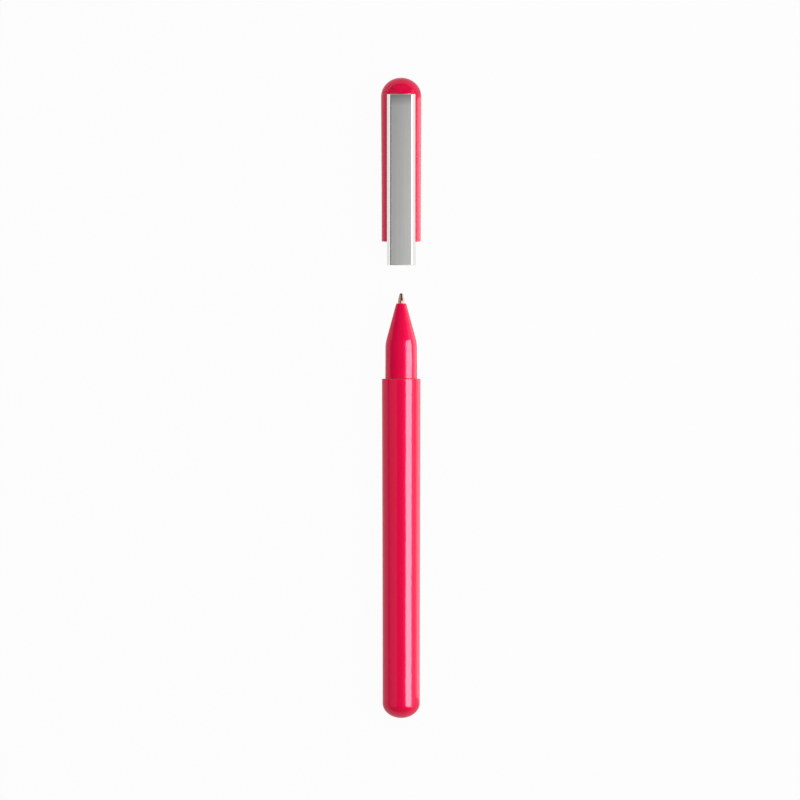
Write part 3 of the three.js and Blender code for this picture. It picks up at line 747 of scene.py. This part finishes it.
# Refill, with its tip and ball
refill = {
    "tail": 11.45, "tubeTo": 104.75, "radius": 1.5, "tubeWall": 0.22, "outerRound": 0.06,
    "innerRound": 0.04, "facets": 64,
}
tipHolder = {
    "from": 101.8, "shankPlay": 0.05, "shankRound": 0.08, "collarGap": 0.05, "collarRound": 0.05,
    "collarTo": 106.05, "taperTo": 107.25, "taperRound": 0.15, "to": 110.45, "radius": 1.15,
    "endRound": 0.06, "bore": 0.85, "boreFrom": 107.45,
}
tip = {
    "inkBore": 0.35, "stemFrom": 107.5, "stemRadius": 0.8, "bodyFrom": 110.5, "bodyTo": 112.8,
    "bodyRound": 0.1, "bodyStep": 0.12, "edgeRound": 0.05, "neckRadius": 0.97, "coneFrom": 115.4,
    "coneRound": 0.25, "bellyDrop": 0.03, "bellyAfter": 0.75, "bellyRound": 2.0, "coneTo": 117.9,
    "crimp": 0.3, "crimpRadius": 0.59, "crimpRound": 0.3, "lipRadius": 0.525, "lipRound": 0.02,
    "facets": 96,
}
ball = {"radius": 0.5, "at": 117.75, "play": 0.05, "lipPlay": 0.005, "steps": 14, "facets": 48}


def makeRefill():
    size = refill
    outer, inner = size["radius"], size["radius"] - size["tubeWall"]
    turn("refill_barrel", [
        (inner, size["tail"], size["innerRound"]), (outer, size["tail"], size["outerRound"]),
        (outer, size["tubeTo"], size["outerRound"]), (inner, size["tubeTo"], size["innerRound"]),
    ], "refill", "nickel_brass", ["refill_tube"], closed=True, facets=size["facets"])
    hold = tipHolder
    shank, collar = inner - hold["shankPlay"], size["tubeTo"] + hold["collarGap"]
    turn("tip_socket", [
        (tip["inkBore"], hold["from"]), (shank, hold["from"], hold["shankRound"]), (shank, collar),
        (outer, collar, hold["collarRound"]), (outer, hold["collarTo"], hold["taperRound"]),
        (hold["radius"], hold["taperTo"], hold["taperRound"]),
        (hold["radius"], hold["to"], hold["endRound"]),
        (hold["bore"], hold["to"]), (hold["bore"], hold["boreFrom"]), (tip["inkBore"], hold["boreFrom"]),
    ], "refill", "nickel_brass", ["tip_holder"], closed=True, facets=size["facets"])


def makeTip():
    size = tip
    edge, body, neck = size["edgeRound"], tipHolder["radius"], size["neckRadius"]
    socket = ball["radius"] + ball["play"]
    turn("writing_tip", [
        (size["inkBore"], size["stemFrom"]), (size["stemRadius"], size["stemFrom"], edge),
        (size["stemRadius"], size["bodyFrom"]), (body, size["bodyFrom"], edge),
        (body, size["bodyTo"], size["bodyRound"]), (neck, size["bodyTo"] + size["bodyStep"], edge),
        (neck, size["coneFrom"], size["coneRound"]),
        (neck - size["bellyDrop"], size["coneFrom"] + size["bellyAfter"], size["bellyRound"]),
        (size["crimpRadius"], size["coneTo"] - size["crimp"], size["crimpRound"]),
        (size["lipRadius"], size["coneTo"], size["lipRound"]),
        (ball["radius"] - ball["lipPlay"], size["coneTo"]),
        (socket, ball["at"]), (socket, ball["at"] - socket), (size["inkBore"], ball["at"] - socket),
    ], "refill", "nickel_brass", ["refill_tip"], closed=True, facets=size["facets"])
    back, front = (domed(ball["radius"], ball["radius"], ball["at"], 0, towards, ball["steps"])
                   for towards in (-1, 1))
    turn("writing_point", [*reversed(back), *front[1:]], "ball", "polished_steel", ["writing_ball"],
         facets=ball["facets"], look="carbide")


# Cap
cap = {
    "mouth": 132.63, "domeFrom": 173.03, "domeHeight": 5.23, "domeWall": 0.7, "seam": 174.14,
    "seamGap": 0.06, "seamRound": 0.03, "seamClear": 0.12, "straight": 4.3, "bore": 4.94,
    "boreRound": 0.08, "mouthRadius": 5.44, "mouthRound": 0.2, "swell": 0.163, "swellPower": 1.6,
    "swellPast": 1, "rowStep": 1.2, "sleeveSteps": 60, "domeSteps": 32, "hollowSteps": 14,
    "facets": 160,
}


def makeCap():
    size = cap
    mouth, bore, radius, swell = size["mouth"], size["bore"], size["mouthRadius"], size["swell"]
    base, height, seam, wall = size["domeFrom"], size["domeHeight"], size["seam"], size["domeWall"]
    topRadius = radius + swell
    seamRadius = topRadius * math.sqrt(1 - ((seam - base) / height) ** 2)
    lower = domed(topRadius, height, base, 0, 1, size["sleeveSteps"])
    corners = [
        (bore, mouth, size["boreRound"]),
        (radius, mouth, size["mouthRound"]),
        *rows(radius, mouth, base - size["straight"], size["rowStep"])[1:],
        *[(x - swell, y) for x, y in lower if y < seam - size["seamClear"]],
        (seamRadius - swell, seam, size["seamRound"]),
        (bore, seam),
    ]
    middle, swollenFrom = (bore + radius) / 2, base - size["swellPast"]
    turn("cap_tube", corners, "cap", "pink_lacquer", ["cap_sleeve"], closed=True, facets=size["facets"],
         swells=lambda x, y: x > middle or (x > bore + hair and y > swollenFrom),
         Swell=swell * mm, Swell_Power=size["swellPower"],
         Swell_From=mouth * mm, Swell_To=(base - size["straight"]) * mm)
    rise = seam + size["seamGap"] - base
    outside = domed(topRadius, height, base, rise, 1, size["domeSteps"])
    hollow = domed(topRadius - wall, height - wall, base, rise, 1, size["hollowSteps"])
    turn("cap_dome", [*reversed(hollow), (*outside[0], size["seamRound"]), *outside[1:]],
         "drive", "pink_lacquer", ["drive_dome"], facets=size["facets"])


# Plain pieces: a CAD solid with its edges rounded. Angles are in degrees.
plain = {"weld": 0.001 * mm, "flatWithin": 1, "roundFrom": 40, "sharpFrom": 45, "segments": 2}


def roundOff(target, name, width, segments, angle=None):
    # rounds the edges that bend by more than an angle, or without one those that carry a weight
    bevel = target.modifiers.new(name, "BEVEL")
    bevel.width = width * mm
    bevel.segments = segments
    bevel.limit_method = "ANGLE" if angle else "WEIGHT"
    if angle:
        bevel.angle_limit = math.radians(angle)


def settle(target, *helpers):
    # keeps flats flat, applies a piece's modifiers and removes the cutters; gives its plain mesh
    flat = target.modifiers.new("flat", "WEIGHTED_NORMAL")
    flat.keep_sharp = True
    graph = bpy.context.evaluated_depsgraph_get()
    mesh = bpy.data.meshes.new_from_object(target.evaluated_get(graph))
    for thing in (target, *helpers):
        bpy.data.objects.remove(thing)
    return mesh


def roundEdges(node, name, body, slotName, width):
    size = plain
    mesh = frame["nodes"][node].data.copy()
    work = bmesh.new()
    work.from_mesh(mesh)
    bmesh.ops.remove_doubles(work, verts=work.verts, dist=size["weld"])
    flatWithin = math.radians(size["flatWithin"])
    bmesh.ops.dissolve_limit(work, angle_limit=flatWithin, verts=work.verts, edges=work.edges)
    work.to_mesh(mesh)
    work.free()
    rounded = addObject(name, mesh)
    roundOff(rounded, "edges", width, size["segments"], size["roundFrom"])
    placePiece(name, settle(rounded), body, slotName, [node], sharpAngle=size["sharpFrom"], turnFaces=False)


def roundedBar(width, length, height, edge, segments):
    # a bar centred on the origin, along Y, with rounded edges
    work = bmesh.new()
    bmesh.ops.create_cube(work, size=1.0)
    bmesh.ops.scale(work, vec=(width * mm, length * mm, height * mm), verts=work.verts)
    bmesh.ops.bevel(
        work, geom=work.edges[:], offset=edge * mm, segments=segments, profile=0.5, affect="EDGES")
    return meshFrom("bar", work)


# Liner in the cap, with grip ribs for the nose
liner = {
    "from": 132.93, "lead": 0.3, "leadRound": 0.1, "rimRound": 0.05, "floorFrom": 157.27,
    "floorRound": 0.4, "to": 158.27, "endRound": 0.2, "bore": 4.52, "outside": 4.89,
}
ribs = {
    "count": 6, "from": 136.13, "length": 10.0, "width": 0.5, "height": 0.04, "sunk": 0.2,
    "edge": 0.03, "segments": 3,
}


def makeRibTree():
    tree, given, result = openTree("ringOfRibs", "GeometryNodeTree", [
        ("Rib", shape, None),
        ("Count", whole, ribs["count"]),
        ("Axis Height", number, 0.0),
        ("Material", finish, None),
    ], [("Geometry", shape)])
    ring = addNode(tree, "GeometryNodeMeshLine", {
        "Count": given["Count"],
        "Offset": (0.0, 0.0, 0.0),
        "Start Location": join(tree, {2: given["Axis Height"]}),
    })
    index = addNode(tree, "GeometryNodeInputIndex").outputs[0]
    step = over(2 * math.pi, given["Count"])
    angle = times(plus(index, 0.5), step)
    placed = addNode(tree, "GeometryNodeInstanceOnPoints", {
        "Points": ring.outputs[0], "Instance": given["Rib"], "Rotation": join(tree, {1: angle}),
    })
    closePieceTree(tree, placed.outputs[0], given["Material"], result)
    return tree


def makeLiner():
    size = liner
    bore, outside, start, end = size["bore"], size["outside"], size["from"], size["to"]
    turn("cap_liner", [
        (0, size["floorFrom"]), (bore, size["floorFrom"], size["floorRound"]),
        (bore, start + size["lead"], size["leadRound"]),
        ((bore + outside) / 2, start, size["rimRound"]), (outside, start, size["rimRound"]),
        (outside, end, size["endRound"]), (0, end),
    ], "cap", "white_plastic", ["inner_cap"])
    height = ribs["height"] + ribs["sunk"]
    rib = roundedBar(ribs["width"], ribs["length"], height, ribs["edge"], ribs["segments"])
    for vertex in rib.vertices:
        vertex.co.y += tailAt + (ribs["from"] + ribs["length"] / 2) * mm
        vertex.co.z += (bore - ribs["height"] + height / 2) * mm
    mesh = evaluated(rib, makeRibTree(), {
        "Count": ribs["count"], "Axis Height": axisHeight, "Material": finishes["white_plastic"],
    }, "grip_ribs")
    placePiece("grip_ribs", mesh, "cap", "white_plastic")


# Clip: a folded channel with closed ends, hollowed to hug the cap, and a bump that holds a pocket
clip = {
    "depth": 2.6, "wall": 0.6, "bend": 1.1, "bendSegments": 14, "endRound": 0.22, "innerFrom": 30,
    "innerSegments": 6, "hollowPast": 1.0, "hug": 5.903, "hugFacets": 240, "hugPast": 2.0,
    "rimRound": 0.06, "rimFrom": 50, "rimSegments": 2, "sharpFrom": 40, "bumpRadius": 1.2,
    "bumpFlat": 0.01, "bumpSegments": 10, "bumpWidth": 3.4, "bumpAboveMouth": 5.0, "bumpAt": 5.74,
}


def shapeFrom(name, work):
    return addObject(name, meshFrom(name, work))


def tube(name, radius, start, end, facets, height):
    # a plain cylinder along Y, used as a cutter
    work = bmesh.new()
    bmesh.ops.create_cone(
        work, cap_ends=True, segments=facets, radius1=radius, radius2=radius, depth=end - start)
    for vertex in work.verts:
        x, y, z = vertex.co
        vertex.co = (x, z + (start + end) / 2, -y + height)
    return shapeFrom(name, work)


def block(name, low, high):
    work = bmesh.new()
    bmesh.ops.create_cube(work, size=1.0)
    for vertex in work.verts:
        vertex.co = [low[k] + (high[k] - low[k]) * (vertex.co[k] + 0.5) for k in range(3)]
    return shapeFrom(name, work)


def carve(target, cutter, operation="DIFFERENCE"):
    cut = target.modifiers.new("cut", "BOOLEAN")
    cut.operation = operation
    cut.solver = "EXACT"
    cut.object = cutter


def makeClip():
    size = clip
    low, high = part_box("clip")
    bottom = high.z - size["depth"] * mm
    wall = size["wall"] * mm
    apart = 0.1 * mm
    outside = block("clip_outside", (low.x, low.y, bottom), high)
    weights = outside.data.attributes.new("bevel_weight_edge", "FLOAT", "EDGE")
    for index, edge in enumerate(outside.data.edges):
        first, second = (outside.data.vertices[k].co for k in edge.vertices)
        onTop = min(first.z, second.z) > bottom + apart
        if onTop and abs(first.y - second.y) > apart:
            weights.data[index].value = 1.0
        elif onTop or abs(first.z - second.z) > apart:
            weights.data[index].value = size["endRound"] / size["bend"]
    roundOff(outside, "bends", size["bend"], size["bendSegments"])
    hollow = block("clip_hollow", (low.x + wall, low.y + wall, bottom - size["hollowPast"] * mm),
                   (high.x - wall, high.y - wall, high.z - wall))
    roundOff(hollow, "bends", size["bend"] - size["wall"], size["innerSegments"], size["innerFrom"])
    past = size["hugPast"] * mm
    hug = tube("clip_hug", size["hug"] * mm, low.y - past, high.y + past, size["hugFacets"], axisHeight)
    across, edge = 2 * size["bumpRadius"], size["bumpRadius"] - size["bumpFlat"]
    bar = roundedBar(size["bumpWidth"], across, across, edge, size["bumpSegments"])
    reach = axisHeight + (size["bumpAt"] + size["bumpRadius"]) * mm
    for vertex in bar.vertices:
        vertex.co.y += tailAt + (cap["mouth"] + size["bumpAboveMouth"]) * mm
        vertex.co.z = min(vertex.co.z + reach, high.z - wall / 2)
    bump = addObject("clip_bump", bar)
    carve(outside, hollow)
    carve(outside, hug)
    carve(outside, bump, "UNION")
    roundOff(outside, "rims", size["rimRound"], size["rimSegments"], size["rimFrom"])
    mesh = settle(outside, hollow, hug, bump)
    placePiece("clip_channel", mesh, "clip", "brushed_steel", ["clip"], sharpAngle=size["sharpFrom"])


# Memory stick: the oval shell of its plug, and the plug in the dome that carries its case
plugShell = {
    "front": 159.59, "to": 166.84, "width": 8.25, "height": 2.4, "wall": 0.25, "frontRound": 0.14,
    "frontInnerRound": 0.1, "endRound": 0.05, "facets": 64,
}
domePlug = {
    "from": 172.79, "flange": 1.3, "flangeRadius": 4.84, "frontRound": 0.12, "flangeRound": 0.08,
    "length": 1.4, "radius": 3.8, "endRound": 0.35, "facets": 96,
}


def makeStick():
    size = plugShell
    outer, inner = size["height"] / 2, size["height"] / 2 - size["wall"]
    turn("plug_sleeve", [
        (inner, size["front"], size["frontInnerRound"]), (outer, size["front"], size["frontRound"]),
        (outer, size["to"], size["endRound"]), (inner, size["to"], size["endRound"]),
    ], "drive", "polished_steel", ["plug_shell"], closed=True, facets=size["facets"],
        Straight=(size["width"] - size["height"]) * mm)
    size = domePlug
    flange = size["from"] + size["flange"]
    end = flange + size["length"]
    turn("dome_plug", [
        (0, size["from"]), (size["flangeRadius"], size["from"], size["frontRound"]),
        (size["flangeRadius"], flange, size["flangeRound"]), (size["radius"], flange),
        (size["radius"], end, size["endRound"]), (0, end),
    ], "drive", "black_plastic", ["dome_insert"], facets=size["facets"])


contacts = {
    "count": 12, "pitch": 0.5, "halfWidth": 0.13, "from": 160.14, "lead": 0.09, "barFrom": 165.04,
    "barTo": 165.39, "to": 166.69, "low": 0.4, "high": 0.6, "edge": 0.02, "segments": 2,
    "sharpFrom": 50,
}


def makeContactTree():
    tree, given, result = openTree("contactRow", "GeometryNodeTree", [
        ("Finger", shape, None),
        ("Count", whole, contacts["count"]),
        ("Pitch", number, contacts["pitch"] * mm),
        ("Material", finish, None),
    ], [("Geometry", shape)])
    span = times(minus(given["Count"], 1), given["Pitch"])
    row = addNode(tree, "GeometryNodeMeshLine", {
        "Count": given["Count"],
        "Start Location": join(tree, {0: times(span, -0.5)}),
        "Offset": join(tree, {0: given["Pitch"]}),
    })
    placed = addNode(tree, "GeometryNodeInstanceOnPoints", {
        "Points": row.outputs[0], "Instance": given["Finger"],
    })
    closePieceTree(tree, placed.outputs[0], given["Material"], result)
    return tree


def makeFinger(low, high):
    # one contact, with half of the bar that joins it to its neighbours on each side
    size = contacts
    half, joint = size["halfWidth"], size["pitch"] / 2
    right = [
        (half, size["from"] + size["lead"]), (half, size["barFrom"]), (joint, size["barFrom"]),
        (joint, size["barTo"]), (half, size["barTo"]), (half, size["to"]),
    ]
    outline = [(0, size["from"]), *right, *[(-x, y) for x, y in reversed(right)]]
    work = bmesh.new()
    corners = [work.verts.new((x * mm, tailAt + y * mm, axisHeight + low * mm)) for x, y in outline]
    face = work.faces.new(corners)
    lifted = bmesh.ops.extrude_face_region(work, geom=[face])["geom"]
    for part in lifted:
        if isinstance(part, bmesh.types.BMVert):
            part.co.z += (high - low) * mm
    rims = [edge for edge in work.edges
            if abs(edge.verts[0].co.z - edge.verts[1].co.z) < hair * mm]
    bmesh.ops.bevel(
        work, geom=rims, offset=size["edge"] * mm, segments=size["segments"], profile=0.5, affect="EDGES")
    return meshFrom("finger", work)


def makeContacts():
    size = contacts
    tree = makeContactTree()
    values = {"Count": size["count"], "Pitch": size["pitch"] * mm, "Material": finishes["gold_plate"]}
    for name, node, low, high in (
        ("contacts_above", "plug_contacts_upper", size["low"], size["high"]),
        ("contacts_below", "plug_contacts_lower", -size["high"], -size["low"]),
    ):
        mesh = evaluated(makeFinger(low, high), tree, values, name)
        placePiece(name, mesh, "drive", "gold_plate", [node], sharpAngle=size["sharpFrom"])


makeBarrel()
makeThreadBush()
makeNose()
makeRefill()
makeTip()
print("barrel, nose and refill made")
makeCap()
makeLiner()
makeClip()
makeStick()
makeContacts()
for node, name, body, slotName, width in (
    ("refill_seat", "tail_plug", "barrel", "white_plastic", 0.12),
    ("drive_guide", "stick_guide", "cap", "black_plastic", 0.08),
    ("clip_bracket", "clip_saddle", "cap", "polished_steel", 0.1),
    ("clip_rivet_upper", "upper_rivet", "cap", "polished_steel", 0.07),
    ("clip_rivet_lower", "lower_rivet", "cap", "polished_steel", 0.07),
    ("drive_case_upper", "case_above", "drive", "black_plastic", 0.14),
    ("drive_case_lower", "case_below", "drive", "black_plastic", 0.14),
    ("circuit_board", "board", "drive", "board_green", 0.05),
    ("memory_chip", "memory_package", "drive", "chip_black", 0.08),
    ("controller_chip", "controller_package", "drive", "chip_black", 0.06),
    ("capacitor_left", "left_capacitor", "drive", "tan_ceramic", 0.05),
    ("capacitor_right", "right_capacitor", "drive", "tan_ceramic", 0.05),
    ("plug_insulator", "plug_block", "drive", "black_plastic", 0.1),
    ("plug_latch", "latch_spring", "drive", "polished_steel", 0.03),
):
    roundEdges(node, name, body, slotName, width)
print("cap, clip and memory stick made")


# Floor, backdrop and light
studio = {
    "floorReach": 6.0, "floorDrop": 0.2 * mm, "floorColour": (0.55, 0.55, 0.55), "floorWhite": 0.96,
    "horizon": 0.7, "horizonTo": 0.03, "sky": 0.15, "skyFrom": 0.1, "ends": 0.3, "endsFrom": 0.66,
    "endsFade": 0.14, "away": 0.55,
}
# the strips that shine in the lacquer would burn out the bare metal, which has its own
brightMetal = ["clip_channel", "writing_tip", "writing_point"]
# soft boxes along the pen: angle from straight up towards +X and spread, in degrees
lamps = {
    "side_strip": {"strength": 2.6, "angle": 47, "spread": 38, "from": -0.39, "to": 0.215,
                   "without": brightMetal},
    "gloss_strip": {"strength": 13, "angle": 47, "spread": 38, "from": -0.4, "to": 0.223,
                    "further": 0.02, "diffuse": False, "without": [*brightMetal, "nose_grip"]},
    "nose_strip": {"strength": 13, "angle": 61, "spread": 44, "from": -0.51, "to": 0.235,
                   "further": 0.02, "diffuse": False, "only": ["nose_grip"]},
    "tip_strip": {"strength": 1.5, "angle": 34, "spread": 64, "from": -0.495, "to": 0.215,
                  "diffuse": False, "only": ["writing_tip", "writing_point"]},
    "clip_strip": {"strength": 1.5, "angle": 18, "spread": 32, "from": -0.495, "to": 0.215,
                   "diffuse": False, "only": ["clip_channel"]},
    "overhead_fill": {"strength": 1.05, "angle": 0, "spread": 60, "from": -0.3, "to": 1.0,
                      "glossy": False},
    "left_panel": {"strength": 0.5, "angle": -52, "spread": 52, "from": -0.45, "to": 0.45,
                   "diffuse": False, "without": ["nose_grip", "clip_channel"]},
    "right_panel": {"strength": 1.4, "angle": 78, "spread": 22, "from": -0.45, "to": 0.45,
                    "diffuse": False, "without": ["clip_channel"]},
    "clip_left_panel": {"strength": 0.8, "angle": -52, "spread": 52, "from": -0.45, "to": 0.45,
                        "diffuse": False, "only": ["clip_channel"]},
    "clip_right_panel": {"strength": 0.74, "angle": 62, "spread": 54, "from": -0.45, "to": 0.45,
                         "diffuse": False, "only": ["clip_channel"]},
}
# a pale card on the floor at the pen's right, which shows only in its gloss
card = {
    "strength": 2.3, "from": 10 * mm, "to": 45 * mm, "length": 0.168, "height": 0.3 * mm,
    "diffuse": False, "without": ["clip_channel"],
}


def makeFloor():
    reach = studio["floorReach"]
    around = [(x * reach, y * reach, -studio["floorDrop"]) for x, y in ((-1, -1), (1, -1), (1, 1), (-1, 1))]
    mesh = bpy.data.meshes.new("floor")
    mesh.from_pydata(around, [], [(0, 1, 2, 3)])
    floor = addObject("floor", mesh)
    material = bpy.data.materials.new("paleFloor")
    material.use_nodes = True
    tree = material.node_tree
    tree.nodes.clear()
    matt = addNode(tree, "ShaderNodeBsdfDiffuse", {0: (*studio["floorColour"], 1.0)})
    white = addNode(tree, "ShaderNodeEmission", {0: (1.0, 1.0, 1.0, 1.0), 1: 1.0})
    path = addNode(tree, "ShaderNodeLightPath").outputs
    mirrored = calc("MAXIMUM", path["Is Glossy Ray"], path["Is Transmission Ray"])
    seen = calc("MAXIMUM", path["Is Camera Ray"], mirrored)
    share = times(seen, studio["floorWhite"])
    mixed = addNode(tree, "ShaderNodeMixShader", {0: share, 1: matt.outputs[0], 2: white.outputs[0]})
    output = addNode(tree, "ShaderNodeOutputMaterial", {0: mixed.outputs[0]})
    output.is_active_output = True
    mesh.materials.append(material)


def addLamp(name, look, width, length, where, tilt):
    light = bpy.data.lights.new(name, "AREA")
    light.shape = "RECTANGLE"
    light.size = width
    light.size_y = length
    light.energy = look["strength"] * math.pi * width * length
    lamp = addObject(name, light)
    lamp.location = where
    lamp.rotation_euler = (0, tilt, 0)
    lamp.visible_camera = False
    lamp.visible_diffuse = look.get("diffuse", True)
    lamp.visible_glossy = look.get("glossy", True)
    if "only" in look or "without" in look:
        # lights only these pieces, or all but these
        group = bpy.data.collections.new(name + "_pieces")
        for piece in look.get("only") or look["without"]:
            group.objects.link(bpy.data.objects[piece])
        for member in group.collection_objects:
            member.light_linking.link_state = "INCLUDE" if "only" in look else "EXCLUDE"
        lamp.light_linking.receiver_collection = group


def makeSoftBox(name, look):
    away = studio["away"] + look.get("further", 0)
    width = 2 * away * math.tan(math.radians(look["spread"] / 2))
    tilt = math.radians(look["angle"])
    middle = (look["from"] + look["to"]) / 2
    where = (away * math.sin(tilt), middle, away * math.cos(tilt) + axisHeight)
    addLamp(name, look, width, look["to"] - look["from"], where, tilt)


def makeBounceCard():
    low, high = card["from"], card["to"]
    addLamp("bounce_card", card, high - low, card["length"], ((low + high) / 2, 0, card["height"]), math.pi)


def makeWorld():
    world = bpy.data.worlds.new("studio")
    world.use_nodes = True
    tree = world.node_tree
    tree.nodes.clear()
    direction = addNode(tree, "ShaderNodeTexCoord").outputs["Generated"]
    parts = split(direction)
    ramp = addNode(tree, "ShaderNodeValToRGB", {0: parts[2]})
    ramp.color_ramp.interpolation = "EASE"
    for stop, at, tone in zip(ramp.color_ramp.elements, ("horizonTo", "skyFrom"), ("horizon", "sky")):
        stop.position = studio[at]
        stop.color = (studio[tone],) * 3 + (1.0,)
    # paler towards the two ends of the pen
    alongPen = minus(calc("ABSOLUTE", parts[1]), studio["endsFrom"])
    towardsEnds = over(alongPen, studio["endsFade"], clamp=True)
    around = blendColours(towardsEnds, ramp.outputs[0], (studio["ends"],) * 3)
    sky = addNode(tree, "ShaderNodeBackground", {0: around, 1: 1.0})
    addNode(tree, "ShaderNodeOutputWorld", {0: sky.outputs[0]})
    bpy.context.scene.world = world


# Camera: straight above, as the photo looks at the clip; it sees from nearest to furthest,
# as shares of its distance
view = {
    "acrossAt": -0.33 * mm, "alongAt": -0.6 * mm, "width": 222.7 * mm, "lens": 400.0,
    "nearest": 0.02, "furthest": 10,
}


def makeCamera():
    lens = bpy.data.cameras.new("photo_camera")
    lens.lens = view["lens"]
    away = view["width"] * view["lens"] / lens.sensor_width
    lens.clip_start = away * view["nearest"]
    lens.clip_end = away * view["furthest"]
    camera = addObject("photo_camera", lens)
    camera.location = (view["acrossAt"], view["alongAt"], axisHeight + away)
    bpy.context.scene.camera = camera


makeFloor()
for name, look in lamps.items():
    makeSoftBox(name, look)
makeBounceCard()
makeWorld()
makeCamera()
bpy.context.scene.view_settings.view_transform = "Standard"
print("studio made")
